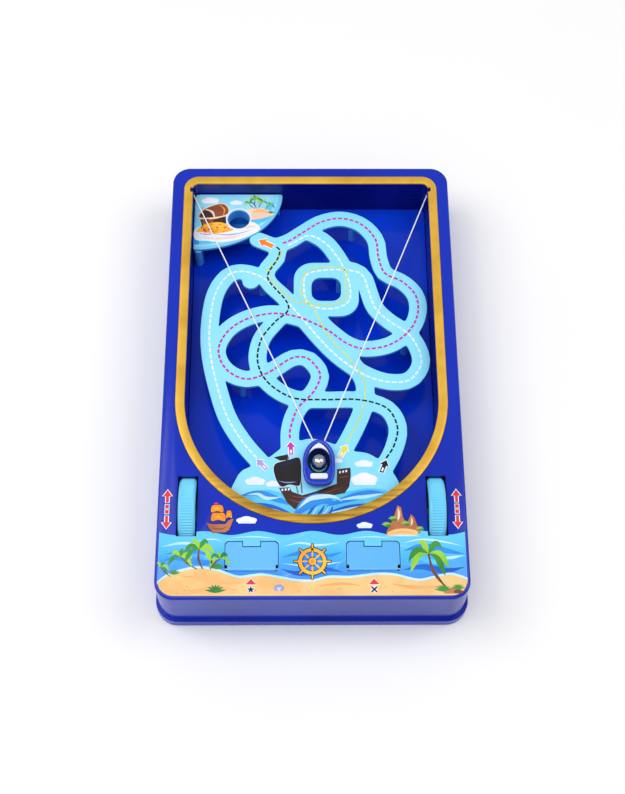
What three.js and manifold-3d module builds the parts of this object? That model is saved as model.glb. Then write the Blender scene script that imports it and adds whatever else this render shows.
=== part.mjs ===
// String-pulled ball maze in a flat plastic case. Millimetres, +Z up, +Y away from the player.
// Origin: centre of the case's footprint, on the surface that the case stands on.

import * as THREE from 'three';
import { ConvexGeometry } from 'three/addons/geometries/ConvexGeometry.js';
import { mergeVertices } from 'three/addons/utils/BufferGeometryUtils.js';
import Module from 'manifold-3d';

const wasm = await Module();
wasm.setup();

// Case
const CASE_W = 190, CASE_L = 314, CASE_TOP = 44;
const CORNER_R = 12, EDGE_R = 1.5;
const WALL = 1.8, TOP_PLATE = 2;
const LIP = 2, LIP_TOP = 7, BASE_PLATE = 2.4;
const SEAM = 0.1;              // parting line between cover and base

// Playfield window: straight sides, far end square, near end a half circle
const WINDOW_R = 81, WINDOW_FAR = 143, ARC_Y = -22, WINDOW_CORNER = 4;
const SURROUND_T = 1.6, SURROUND_BOTTOM = 8;
const BEZEL_W = 6, BEZEL_TOP = 45.2;
const FLOOR_FAR_Z = 14, FLOOR_NEAR_Z = 9.5, FLOOR_T = 2;

// Maze plate
const TRACK_TOP = 33, TRACK_T = 2.5, TRACK_W = 12, POST_R = 2.6;
const ISLAND = { x: -80.3, y: 142.7, rx: 61, ry: 46 };
const GOAL = { x: -49.5, y: 121.5, r: 7.5 };

// Thumbwheels and spools, at +-x
const WHEEL = { x: 76.7, y: -97, z: 27.1, r: 24, width: 10.5 };
const AXLE_R = 1.5, SPOOL_X = 86.9, SPOOL_R = 6.5, FLANGE_R = 9, SPOOL_W = 6;
const SLOT = { w: 12.5, near: -117, far: -77 };

// Ball-return doors, at +-x
const DOOR = { x: 36.75, w: 32, near: -139.4, far: -120.5, t: 1.8, corner: 2.5, gap: 0.6 };
const TONGUE = { w: 10.4, reach: 3 };
const HINGE = { y: DOOR.near + DOOR.t, z: CASE_TOP - DOOR.t, pinR: 0.75 };

// Boat, ball and strings
const BOAT = { x: 4.5, bow: -49.6, stern: -81, w: 20.3, bottom: TRACK_TOP + 0.15, rail: 40 };
const BALL = { x: BOAT.x, y: -65, r: 5 };
const STRING_D = 0.9, STRING_Z = 38;
const GUIDE = { x: 84, y: 138, r: 2.6 };

// Case screws: [x, y]
const SCREWS = { rear_left: [-60, 150.2], rear_middle: [0, 150.2], rear_right: [60, 150.2],
  front_left: [-84, -146.5], front_middle: [0, -114], front_right: [84, -146.5] };

const COLOURS = {
  navy: { color: 0x0a1e8c, roughness: 0.2, metalness: 0 },
  deepNavy: { color: 0x07135c, roughness: 0.3, metalness: 0 },
  blue: { color: 0x0d3fd0, roughness: 0.35, metalness: 0 },
  cyan: { color: 0x8fdcf5, roughness: 0.4, metalness: 0 },
  sky: { color: 0x62b8f5, roughness: 0.4, metalness: 0 },
  gold: { color: 0xc99a3a, roughness: 0.25, metalness: 0.9 },
  sand: { color: 0xf0d59a, roughness: 0.5, metalness: 0 },
  white: { color: 0xf2f2f5, roughness: 0.4, metalness: 0 },
  steel: { color: 0xc8ccd2, roughness: 0.12, metalness: 1 },
  grey: { color: 0x70757d, roughness: 0.5, metalness: 0 },
};

const part = new THREE.Group();

// ---------------------------------------------------------------- solids

function solid(geometry) {
  const bare = geometry.clone();
  bare.deleteAttribute('normal');
  bare.deleteAttribute('uv');
  const merged = mergeVertices(bare, 1e-4);
  return new wasm.Manifold(new wasm.Mesh({
    numProp: 3,
    vertProperties: new Float32Array(merged.attributes.position.array),
    triVerts: new Uint32Array(merged.index.array),
  }));
}

function geometryOf(body) {
  const { vertProperties, triVerts } = body.getMesh();
  const geometry = new THREE.BufferGeometry();
  geometry.setAttribute('position', new THREE.BufferAttribute(vertProperties, 3));
  geometry.setIndex(new THREE.BufferAttribute(triVerts, 1));
  return geometry;
}

const join = (...bodies) => bodies.reduce((sum, body) => sum.add(body));
const cut = (body, ...tools) => tools.reduce((rest, tool) => rest.subtract(tool), body);

function place(name, body, look) {
  const mesh = new THREE.Mesh(geometryOf(body), new THREE.MeshStandardMaterial(COLOURS[look]));
  mesh.name = name;
  part.add(mesh);
}

function box(x0, x1, y0, y1, z0, z1) {
  const geometry = new THREE.BoxGeometry(x1 - x0, y1 - y0, z1 - z0);
  return solid(geometry.translate((x0 + x1) / 2, (y0 + y1) / 2, (z0 + z1) / 2));
}

// Upright prism of a plan outline
function prism(shape, z0, z1, curveSegments = 12) {
  const geometry = new THREE.ExtrudeGeometry(shape, { depth: z1 - z0, bevelEnabled: false, curveSegments });
  return solid(geometry.translate(0, 0, z0));
}

function disc(x, y, r, z0, z1, sides = 14) {
  const geometry = new THREE.CylinderGeometry(r, r, z1 - z0, sides);
  return solid(geometry.rotateX(Math.PI / 2).translate(x, y, (z0 + z1) / 2));
}

// Round bar along X
function rodX(y, z, r, x0, x1, sides = 20) {
  const geometry = new THREE.CylinderGeometry(r, r, Math.abs(x1 - x0), sides);
  return solid(geometry.rotateZ(Math.PI / 2).translate((x0 + x1) / 2, y, z));
}

// Straight, perhaps sloping bar: its top runs from a to b, w wide and t deep, shifted sideways
function bar(a, b, w, t, side = 0) {
  const [start, end] = [new THREE.Vector3(...a), new THREE.Vector3(...b)];
  const run = end.clone().sub(start).setZ(0).normalize();
  const across = new THREE.Vector3(-run.y, run.x, 0);
  const corners = [];
  for (const point of [start, end]) {
    for (const drop of [0, t]) {
      for (const edge of [side - w / 2, side + w / 2]) {
        corners.push(point.clone().addScaledVector(across, edge).setZ(point.z - drop));
      }
    }
  }
  return solid(new ConvexGeometry(corners));
}

// Sloping gutter: a floor with a wall along each side that is asked for (-1 right, 1 left)
function gutter(a, b, inner, sides, depth = 6, t = 1.4) {
  let body = bar(a, b, inner, t);
  for (const side of sides) {
    const lift = ([x, y, z]) => [x, y, z + depth];
    body = body.add(bar(lift(a), lift(b), t, depth + t, side * (inner + t - 0.1) / 2));
  }
  return body;
}

// ---------------------------------------------------------------- outlines

function roundedRect(w, l, r, cx = 0, cy = 0) {
  const [x, y] = [w / 2 - r, l / 2 - r];
  const shape = new THREE.Shape();
  shape.absarc(cx + x, cy + y, r, 0, Math.PI / 2);
  shape.absarc(cx - x, cy + y, r, Math.PI / 2, Math.PI);
  shape.absarc(cx - x, cy - y, r, Math.PI, 1.5 * Math.PI);
  shape.absarc(cx + x, cy - y, r, 1.5 * Math.PI, 2 * Math.PI);
  return shape;
}

// The window's outline, grown outwards
function windowShape(grow) {
  const [r, far, corner] = [WINDOW_R + grow, WINDOW_FAR + grow, WINDOW_CORNER + grow * 0.7];
  const shape = new THREE.Shape();
  shape.absarc(0, ARC_Y, r, Math.PI, 2 * Math.PI);
  shape.absarc(r - corner, far - corner, corner, 0, Math.PI / 2);
  shape.absarc(-r + corner, far - corner, corner, Math.PI / 2, Math.PI);
  return shape;
}

const windowPrism = (grow, z0, z1) => prism(windowShape(grow), z0, z1, 28);

// ---------------------------------------------------------------- case

function baseTray() {
  const [w, l, r] = [CASE_W + 2 * LIP, CASE_L + 2 * LIP, CORNER_R + LIP];
  const shelf = LIP + WALL + 0.3;
  let body = prism(roundedRect(w, l, r), 0, LIP_TOP - SEAM, 8);
  const hollow = roundedRect(w - 2 * shelf, l - 2 * shelf, r - shelf);
  body = body.subtract(prism(hollow, BASE_PLATE, LIP_TOP + 1, 4));
  for (const x of [-50, 0, 50]) {
    const ribTop = (y) => floorTop(y) - FLOOR_T - 0.4;
    body = body.add(bar([x, 135, ribTop(135)], [x, -75, ribTop(-75)], 1.6, 4));
    body = body.add(box(x - 0.8, x + 0.8, -75, 135, BASE_PLATE - 0.5, ribTop(-75)));
  }
  for (const side of [-1, 1]) body = body.add(innerBearing(side));
  for (const [x, y] of Object.values(SCREWS)) {
    body = body.add(disc(x, y, 4.2, BASE_PLATE - 0.5, 5.8));
    body = cut(body, disc(x, y, 1.8, -1, 7, 12), disc(x, y, 3.4, -1, 3));
  }
  return body;
}

// Upright that carries the wheel axle's inner end
function innerBearing(side) {
  const x = [side * 67.6, side * 70.4].sort((a, b) => a - b);
  const post = box(x[0], x[1], WHEEL.y - 5, WHEEL.y + 5, BASE_PLATE - 0.5, WHEEL.z);
  const head = rodX(WHEEL.y, WHEEL.z, 5, x[0], x[1]);
  return post.add(head).subtract(rodX(WHEEL.y, WHEEL.z, AXLE_R + 0.25, x[0] - 1, x[1] + 1));
}

function coverShell() {
  const bevel = { bevelSize: EDGE_R, bevelThickness: EDGE_R, bevelOffset: -EDGE_R, bevelSegments: 3 };
  const outer = new THREE.ExtrudeGeometry(roundedRect(CASE_W, CASE_L, CORNER_R),
    { depth: CASE_TOP - 2 * EDGE_R, curveSegments: 8, ...bevel });
  const shell = solid(outer.translate(0, 0, EDGE_R));
  const inner = roundedRect(CASE_W - 2 * WALL, CASE_L - 2 * WALL, CORNER_R - WALL);
  return cut(shell, box(-100, 100, -170, 170, -1, LIP_TOP),
    prism(inner, -1, CASE_TOP - TOP_PLATE, 4));
}

// Opening over a ball tray, with the tongue that enters the door's notch
function doorOpening(side) {
  const { w, near, far, corner, gap } = DOOR;
  const cx = side * DOOR.x;
  const hole = prism(roundedRect(w + 2 * gap, far - near + 2 * gap, corner, cx, (near + far) / 2),
    CASE_TOP - TOP_PLATE - 1, CASE_TOP + 2, 3);
  const edge = far - TONGUE.reach;
  return hole.subtract(box(cx - TONGUE.w / 2, cx + TONGUE.w / 2, edge, far + 2, 40, 50));
}

function topCover() {
  let body = coverShell();
  for (const [x, y] of Object.values(SCREWS)) {
    body = body.add(disc(x, y, 3.4, 6.1, CASE_TOP - TOP_PLATE + 0.5));
  }
  for (const side of [-1, 1]) {
    const cx = side * DOOR.x;
    for (const end of [-1, 1]) {
      const x = [cx + end * (DOOR.w / 2 + DOOR.gap + 0.1), cx + end * (DOOR.w / 2 + DOOR.gap + 2.3)];
      x.sort((a, b) => a - b);
      body = body.add(box(x[0], x[1], HINGE.y - 2.2, HINGE.y + 2.2, 39.6, CASE_TOP - TOP_PLATE + 0.5));
    }
    body = body.add(outerBearing(side));
    const reach = DOOR.w / 2 + DOOR.gap + 3;
    body = cut(body, doorOpening(side),
      rodX(HINGE.y, HINGE.z, HINGE.pinR + 0.25, cx - reach, cx + reach, 12),
      box(...[side * (WHEEL.x - SLOT.w / 2), side * (WHEEL.x + SLOT.w / 2)].sort((a, b) => a - b),
        SLOT.near, SLOT.far, CASE_TOP - TOP_PLATE - 1, CASE_TOP + 1));
  }
  for (const [x, y] of Object.values(SCREWS)) {
    body = body.subtract(disc(x, y, 1.75, 6, 16.5, 12));
  }
  return body.subtract(windowPrism(2, CASE_TOP - TOP_PLATE - 1, CASE_TOP + 1));
}

// Bracket under the cover that carries the axle's outer end
function outerBearing(side) {
  const x = [side * 90.7, side * 92.7].sort((a, b) => a - b);
  const top = CASE_TOP - TOP_PLATE + 0.5;
  const leg = box(x[0], x[1], WHEEL.y - 4.5, WHEEL.y + 4.5, WHEEL.z, top);
  const eye = rodX(WHEEL.y, WHEEL.z, 4.5, x[0], x[1]);
  return leg.add(eye).subtract(rodX(WHEEL.y, WHEEL.z, AXLE_R + 0.25, x[0] - 1, x[1] + 1));
}

function caseScrew([x, y]) {
  const head = disc(x, y, 2.9, 0.6, 2.7).add(disc(x, y, 1.45, 2.5, 15.5, 10));
  return cut(head, box(x - 2, x + 2, y - 0.4, y + 0.4, 0, 1.6), box(x - 0.4, x + 0.4, y - 2, y + 2, 0, 1.6));
}

// Raised gold frame round the window, notched where each string comes in
function bezel() {
  let body = windowPrism(BEZEL_W, CASE_TOP + 0.05, BEZEL_TOP).subtract(windowPrism(0, 40, 50));
  for (const side of [-1, 1]) {
    body = body.subtract(box(side * 81.6 - 1.6, side * 81.6 + 1.6, GUIDE.y - 2, GUIDE.y + 2, 40, 50));
  }
  return body;
}

// Printed sheet on the front of the cover; its far edge is a row of waves
function faceLabel() {
  const [x, near, r] = [CASE_W / 2 - 2, -CASE_L / 2 + 2, CORNER_R - 2];
  const shape = new THREE.Shape();
  shape.absarc(-x + r, near + r, r, Math.PI, 1.5 * Math.PI);
  shape.absarc(x - r, near + r, r, 1.5 * Math.PI, 2 * Math.PI);
  const waves = 30;
  for (let i = 0; i <= waves; i += 1) {
    const wx = x - (2 * x * i) / waves;
    shape.lineTo(wx, -115 + 1.3 * Math.cos((2 * Math.PI * wx) / 33));
  }
  let body = prism(shape, CASE_TOP + 0.02, CASE_TOP + 0.24, 8);
  for (const side of [-1, 1]) {
    const slot = [side * (WHEEL.x - SLOT.w / 2), side * (WHEEL.x + SLOT.w / 2)].sort((a, b) => a - b);
    body = cut(body, doorOpening(side), box(...slot, SLOT.near, SLOT.far, 40, 50));
  }
  return body;
}

// ---------------------------------------------------------------- playfield

const floorTop = (y) => FLOOR_FAR_Z + ((y - WINDOW_FAR) * (FLOOR_FAR_Z - FLOOR_NEAR_Z))
  / (WINDOW_FAR - ARC_Y + WINDOW_R);

// Sunken wall all round the playfield
function playfieldSurround() {
  const top = CASE_TOP - 0.1;
  let body = windowPrism(SURROUND_T, SURROUND_BOTTOM, top).subtract(windowPrism(0, 0, 60));
  for (const side of [-1, 1]) {
    body = body.subtract(box(side * 82 - 3, side * 82 + 3, GUIDE.y - 4, GUIDE.y + 4, 34.5, 50));
  }
  const chuteHole = box(-86, -78, GOAL.y - 9.1, GOAL.y + 9.1, 13.2, 23.4);
  const loseHole = box(30, 43.5, -110, -80, floorTop(-94) - 0.4, 23);
  return cut(body, chuteHole, loseHole);
}

function playfieldFloor() {
  const [far, near] = [150, -110];
  const slab = bar([0, far, floorTop(far)], [0, near, floorTop(near)], 180, FLOOR_T);
  return windowPrism(-0.3, 0, 20).intersect(slab);
}

// Plan centre lines of the maze's ways, x and y, each a smooth curve through its points
const WAYS = {
  outer_left: [[-33, -62], [-43.5, -49], [-54, -31], [-61, -9], [-66, 14], [-67.3, 36],
    [-64.3, 61], [-56, 76], [-47, 79.2], [-38, 77]],
  goal_arm: [[-36, 105], [-24, 99.5]],
  diagonal: [[-23, 100], [-22.8, 91], [-30, 80], [-28.5, 70.5], [-17.4, 58.3], [-5, 42.2], [5, 28.7],
    [14.4, 17.4], [24, 8.5], [36, 0], [50, -5.2], [64, -4], [71.8, 7], [70.8, 19], [64, 31],
    [52, 40.3], [43, 50.5], [38.8, 64], [35, 76], [26, 81.3], [14, 80.5]],
  upper_link: [[-1, 110.5], [10, 103.1], [18.8, 89.7], [25.5, 74]],
  far_right: [[-24, 100], [-15, 103.5], [-4, 111.5], [7, 119], [21, 122.2], [35, 117.3], [44.5, 105],
    [46.3, 90], [50.5, 77.5], [62, 70.8], [70.5, 60], [71.3, 46], [65, 32.5], [52, 22.3],
    [36, 19.2], [24, 23], [12.3, 32.9], [6.8, 39.2], [-1, 51]],
  left_loop: [[-13.5, -56], [-13.7, -40], [-9, -25], [1.5, -12.5], [5.8, 0], [-1, 11], [-8, 13.2],
    [-15, 11], [-29, 1], [-43, -3.2], [-56.5, 4], [-62.3, 18], [-56, 33], [-42.5, 42.8],
    [-25, 46.8], [-8, 42.5]],
  inner_left: [[-14.5, 50], [-24, 39.5], [-33, 26], [-35, 9], [-28, -6], [-12, -17], [8, -18.4],
    [31, -18.5], [48.5, -24.5], [55.3, -38], [52.5, -53], [46, -66]],
  short_right: [[18, -58], [27, -40.5], [34, -22], [34.3, -5], [26, 10]],
};
const WAY_STEP = 5;           // length of each straight piece of a way's edge

// A way TRACK_W wide with round ends
function way(points) {
  const line = new THREE.SplineCurve(points.map(([x, y]) => new THREE.Vector2(x, y)));
  const steps = Math.max(2, Math.round(line.getLength() / WAY_STEP));
  const [left, right] = [[], []];
  for (let i = 0; i <= steps; i += 1) {
    const at = line.getPointAt(i / steps);
    const ahead = line.getTangentAt(i / steps);
    const across = new THREE.Vector2(-ahead.y, ahead.x).multiplyScalar(TRACK_W / 2);
    left.push(at.clone().add(across));
    right.unshift(at.clone().sub(across));
  }
  let body = prism(new THREE.Shape([...left, ...right]), TRACK_TOP - TRACK_T, TRACK_TOP);
  for (const [x, y] of [points[0], points.at(-1)]) {
    body = body.add(disc(x, y, TRACK_W / 2, TRACK_TOP - TRACK_T, TRACK_TOP, 20));
  }
  return body;
}

// Start plate: a wavy far edge, and a near edge that follows the surround
function startPlate() {
  const farEdge = new THREE.SplineCurve([[56, -80.2], [53, -72.5], [46, -64], [36, -56.5], [24, -54.5],
    [12, -49], [0, -46], [-10, -48.5], [-19.5, -53], [-28, -60], [-38.5, -65.5], [-45, -69],
    [-49, -77], [-52, -83.4]].map(([x, y]) => new THREE.Vector2(x, y)));
  const shape = new THREE.Shape();
  const reach = WINDOW_R - 0.7;
  const angle = (x, y) => Math.atan2(y - ARC_Y, x);
  shape.absarc(0, ARC_Y, reach, angle(-52, -83.4), angle(56, -80.2));
  for (const point of farEdge.getSpacedPoints(30).slice(1, -1)) shape.lineTo(point.x, point.y);
  return prism(shape, TRACK_TOP - TRACK_T, TRACK_TOP, 18);
}

const POSTS = [[29, 118], [-45, -3], [63, 28], [52, -31], [20, 76], [-33, 74], [-20, -60], [30, -66]];

function mazeTrack() {
  let body = startPlate();
  for (const points of Object.values(WAYS)) body = body.add(way(points));
  const ring = prism(roundedRect(TRACK_W + 31.8, TRACK_W + 30.2, 13, 10.4, 65.1), TRACK_TOP - TRACK_T,
    TRACK_TOP, 6);
  const eye = prism(roundedRect(31.8 - TRACK_W, 30.2 - TRACK_W, 6, 10.4, 65.1), 20, 50, 6);
  body = body.add(ring).subtract(eye);
  body = body.add(disc(-40.5, 71.5, 6, TRACK_TOP - TRACK_T, TRACK_TOP));
  for (const [x, y] of POSTS) {
    body = body.add(disc(x, y, POST_R, floorTop(y) + 0.15, TRACK_TOP - 1, 16));
  }
  return body.subtract(islandPlate(0.3, 20, 50));
}

// Quarter ellipse in the far left corner
function islandPlate(grow, z0, z1) {
  const shape = new THREE.Shape();
  shape.moveTo(ISLAND.x, ISLAND.y);
  shape.lineTo(ISLAND.x, ISLAND.y - ISLAND.ry - grow);
  shape.absellipse(ISLAND.x, ISLAND.y, ISLAND.rx + grow, ISLAND.ry + grow, 1.5 * Math.PI, 2 * Math.PI);
  return prism(shape, z0, z1, 20);
}

function treasureIsland() {
  const bottom = TRACK_TOP - TRACK_T;
  let body = islandPlate(0, bottom, TRACK_TOP).intersect(windowPrism(-0.6, 20, 50));
  body = body.add(disc(GOAL.x, GOAL.y, GOAL.r + 1.4, 24, TRACK_TOP - 1, 28));
  for (const [x, y] of [[-78.5, 98.6], [-75, 98.6], [-23, 139]]) {
    body = body.add(disc(x, y, 1.5, floorTop(y) + 0.15, TRACK_TOP - 1, 12));
  }
  return body.subtract(disc(GOAL.x, GOAL.y, GOAL.r, 20, 50, 28));
}

// ---------------------------------------------------------------- ball return

// Gutter under the goal hole, out through the surround, along the case's side to the win tray
function goalChute() {
  const start = [-41, GOAL.y, 16.7];
  const turn = [-92.9, GOAL.y, 15.4];
  const sideY = [GOAL.y + 8.2, -134.5];
  const x = -87.85;
  const corner = [x, sideY[1], 5.6];
  const end = [-55, -131.5, 5.2];
  const sideFall = (y) => turn[2] - 0.1 - ((GOAL.y - y) * (turn[2] - corner[2])) / (GOAL.y - sideY[1]);
  const catcher = join(gutter(start, turn, 14.8, [-1]), gutter(start, [-83, GOAL.y, 15.6], 14.8, [1]),
    bar([start[0] + 0.4, GOAL.y - 8.8, 22.5], [start[0] + 0.4, GOAL.y + 8.8, 22.5], 1.4, 7.2));
  const run = bar([x, GOAL.y + 8, sideFall(GOAL.y + 8)], [x, sideY[1], corner[2]], 10.1, 1.4);
  const guide = bar([-82.55, -35, sideFall(-35) + 8], [-82.55, -123, sideFall(-123) + 8], 0.7, 9.4);
  const foot = gutter([-92.9, end[1], corner[2]], end, 12, [-1]);
  const footInner = bar([-82.1, end[1] + 6.6, corner[2] + 6], [-55, end[1] + 6.6, end[2] + 6], 1.4, 7.4);
  return join(catcher, run, guide, foot, footInner);
}

function trayPocket(side) {
  const [inner, t] = [DOOR.w / 2 + DOOR.gap, 1.5];
  const x = side * DOOR.x;
  const [near, far] = [DOOR.near - DOOR.gap, DOOR.far + DOOR.gap];
  return cut(box(x - inner - t, x + inner + t, near - t, far + t, BASE_PLATE + 0.1, 39),
    box(x - inner, x + inner, near, far, 4.2, 40));
}

function winTray() {
  return trayPocket(-1).subtract(box(-57, -51, -136.5, -126.5, 5.1, 20));
}

function loseTray() {
  const inlet = join(box(28.6, 44.9, -118.5, -88, 7.4, 8.8), box(28.6, 30, -118.5, -88, 7.4, 16),
    box(43.5, 44.9, -118.5, -88, 7.4, 16)).subtract(disc(0, ARC_Y, WINDOW_R + SURROUND_T + 0.3, 0, 30, 96));
  return trayPocket(1).add(inlet).subtract(box(30, 43.5, -122, -116, 8.8, 22));
}

// Door leaf with a round knuckle along its near edge, a notch in its far edge for the cover's
// tongue, and its near corners cut back so that they turn clear of the opening
function door(side) {
  const { w, t, far, corner } = DOOR;
  const cx = side * DOOR.x;
  const leaf = prism(roundedRect(w, far - HINGE.y + 2 * corner, corner, cx, (far + HINGE.y) / 2 - corner),
    HINGE.z, HINGE.z + t, 3);
  const front = box(cx - w / 2 - 1, cx + w / 2 + 1, HINGE.y - 20, HINGE.y, 40, 46);
  const knuckle = rodX(HINGE.y, HINGE.z, t, cx - w / 2 + 1.4, cx + w / 2 - 1.4, 16);
  const notch = TONGUE.w / 2 + 0.4;
  const ends = [-1, 1].map((end) => box(cx + end * (w / 2) - 1.4, cx + end * (w / 2) + 1.4,
    HINGE.y - 1, HINGE.y + 2.2, 40, 46));
  return cut(leaf.subtract(front).add(knuckle), ...ends,
    rodX(HINGE.y, HINGE.z, HINGE.pinR + 0.2, cx - w, cx + w, 12),
    box(cx - notch, cx + notch, far - TONGUE.reach - 0.4, far + 1, 40, 46));
}

function hingePin(side) {
  const reach = DOOR.w / 2 + DOOR.gap + 2.2;
  return rodX(HINGE.y, HINGE.z, HINGE.pinR, side * DOOR.x - reach, side * DOOR.x + reach, 12);
}

// ---------------------------------------------------------------- winding gear

function thumbwheel(side) {
  const { r, width, x, y, z } = WHEEL;
  const body = rodX(y, z, r, side * x - width / 2, side * x + width / 2, 40);
  const hub = (x0, x1) => rodX(y, z, 20, x0, x1, 24).subtract(rodX(y, z, 5, x0 - 1, x1 + 1, 14));
  return cut(body, hub(side * x + 1.5, side * x + 6), hub(side * x - 6, side * x - 1.5),
    rodX(y, z, AXLE_R + 0.25, side * x - 8, side * x + 8, 12));
}

function spool(side) {
  const { y, z } = WHEEL;
  const x = side * SPOOL_X;
  const half = SPOOL_W / 2;
  return join(rodX(y, z, SPOOL_R, x - half, x + half), rodX(y, z, FLANGE_R, x - half, x - half + 0.9),
    rodX(y, z, FLANGE_R, x + half - 0.9, x + half)).subtract(rodX(y, z, AXLE_R + 0.25, x - 4, x + 4, 12));
}

const axle = (side) => rodX(WHEEL.y, WHEEL.z, AXLE_R, side * 66.5, side * 92.9, 16);

// Grooved post that turns the string at the window's far corner
function stringGuide(side) {
  const { x, y, r } = GUIDE;
  const profile = [[0, 36], [r + 1, 36], [r + 1, 36.7], [r, 37.2], [r, 38.8], [r + 1, 39.3],
    [r + 1, 41.8], [0, 41.8]].map(([px, pz]) => new THREE.Vector2(px, pz));
  const geometry = new THREE.LatheGeometry(profile, 16);
  return solid(geometry.rotateX(Math.PI / 2).translate(side * x, y, 0));
}

// ---------------------------------------------------------------- boat and ball

// Hull plan: pointed bow, full sides, rounded stern
function hullShape(inset = 0) {
  const { x, bow, stern, w } = BOAT;
  const half = w / 2 - inset;
  const [top, bottom] = [bow - inset, stern + inset];
  const shape = new THREE.Shape();
  shape.moveTo(x, top);
  shape.bezierCurveTo(x + half * 0.55, top - 1.8, x + half, top - 7, x + half, top - 15);
  shape.lineTo(x + half, bottom + 6);
  shape.bezierCurveTo(x + half, bottom + 2, x + half * 0.8, bottom, x + half * 0.5, bottom);
  shape.lineTo(x - half * 0.5, bottom);
  shape.bezierCurveTo(x - half * 0.8, bottom, x - half, bottom + 2, x - half, bottom + 6);
  shape.lineTo(x - half, top - 15);
  shape.bezierCurveTo(x - half, top - 7, x - half * 0.55, top - 1.8, x, top);
  return shape;
}

// Ball well: an upright oval hole
function wellShape(grow = 0) {
  const shape = new THREE.Shape();
  shape.absellipse(BOAT.x, BALL.y + 0.5, 7 + grow, 8.5 + grow, 0, 2 * Math.PI);
  return shape;
}

function boatHull() {
  const { bottom, rail, x } = BOAT;
  const body = prism(hullShape(), bottom, rail, 8);
  const sunk = prism(hullShape(2.3), rail - 1.6, rail + 1, 8);
  const hitch = (side) => bar([x + side * 9, BOAT.bow + 3, 39], [x + side * 2, BOAT.bow - 4, 39], 1.6, 1.8);
  return cut(body, sunk, prism(wellShape(), 30, 50, 10), hitch(-1), hitch(1));
}

// Bow deck: the part of the sunken deck ahead of the well
function bowDeck() {
  const { rail, x, bow } = BOAT;
  const deck = prism(hullShape(2.6), rail - 1.5, rail - 0.5, 8);
  return cut(deck, prism(wellShape(0.5), 30, 50, 10), box(x - 12, x + 12, -90, bow - 10.6, 30, 50));
}

function boatSeat() {
  const { x, rail } = BOAT;
  return prism(roundedRect(11, 3.8, 1.4, x, -75.3), rail - 1.5, rail + 0.3, 3);
}

function ball() {
  const geometry = new THREE.SphereGeometry(BALL.r, 20, 12);
  return solid(geometry.rotateX(Math.PI / 2).translate(BALL.x, BALL.y, TRACK_TOP + 0.1 + BALL.r));
}

// String from the spool, along the case's side, round the guide, to the boat's bow
function stringPoints(side) {
  const turn = GUIDE.r + STRING_D / 2 + 0.1;
  const at = (x, y, z) => new THREE.Vector3(side * x, y, z);
  const points = [at(SPOOL_X, WHEEL.y + 1, WHEEL.z + SPOOL_R + 1.1), at(SPOOL_X, -70, 36),
    at(SPOOL_X, 0, 37.4), at(87, 90, STRING_Z), at(87.1, 125, STRING_Z)];
  for (const degrees of [0, 45, 90, 135, 180]) {
    const angle = (degrees * Math.PI) / 180;
    points.push(at(GUIDE.x + turn * Math.cos(angle), GUIDE.y + turn * Math.sin(angle), STRING_Z));
  }
  const boatEnd = new THREE.Vector3(BOAT.x + side * 3.6, BOAT.bow - 0.6, STRING_Z);
  const from = at(GUIDE.x - turn, GUIDE.y, STRING_Z);
  for (const share of [0.12, 0.35, 0.65, 1]) points.push(from.clone().lerp(boatEnd, share));
  return points;
}

function pullString(side) {
  const points = stringPoints(side);
  const route = new THREE.CatmullRomCurve3(points, false, 'centripetal');
  route.getUtoTmapping = (u) => u;     // steps shared evenly between the points, so the turn is fine
  const section = new THREE.Shape();
  section.absarc(0, 0, STRING_D / 2, 0, 2 * Math.PI);
  const geometry = new THREE.ExtrudeGeometry(section,
    { steps: 3 * (points.length - 1), curveSegments: 4, bevelEnabled: false, extrudePath: route });
  return solid(geometry);
}

// ---------------------------------------------------------------- assembly

place('base_tray', baseTray(), 'navy');
place('top_cover', topCover(), 'navy');
place('window_bezel', bezel(), 'gold');
place('face_label', faceLabel(), 'sand');
place('playfield_surround', playfieldSurround(), 'deepNavy');
place('playfield_floor', playfieldFloor(), 'blue');
place('maze_track', mazeTrack(), 'cyan');
place('treasure_island', treasureIsland(), 'sky');
place('goal_chute', goalChute(), 'white');
place('win_tray', winTray(), 'white');
place('lose_tray', loseTray(), 'white');
place('boat_hull', boatHull(), 'blue');
place('boat_bow_deck', bowDeck(), 'white');
place('boat_seat', boatSeat(), 'white');
place('steel_ball', ball(), 'steel');
for (const [name, side] of [['left', -1], ['right', 1]]) {
  place(`thumbwheel_${name}`, thumbwheel(side), 'cyan');
  place(`wheel_axle_${name}`, axle(side), 'steel');
  place(`string_spool_${name}`, spool(side), 'white');
  place(`string_guide_${name}`, stringGuide(side), 'grey');
  place(`pull_string_${name}`, pullString(side), 'white');
}
place('win_door', door(-1), 'sky');
place('lose_door', door(1), 'sky');
place('win_door_pin', hingePin(-1), 'steel');
place('lose_door_pin', hingePin(1), 'steel');
for (const [name, at] of Object.entries(SCREWS)) place(`case_screw_${name}`, caseScrew(at), 'steel');

export default part;
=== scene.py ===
import bmesh
import bpy
import numpy as np
from mathutils import Matrix, Vector
from mathutils.geometry import delaunay_2d_cdt


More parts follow.
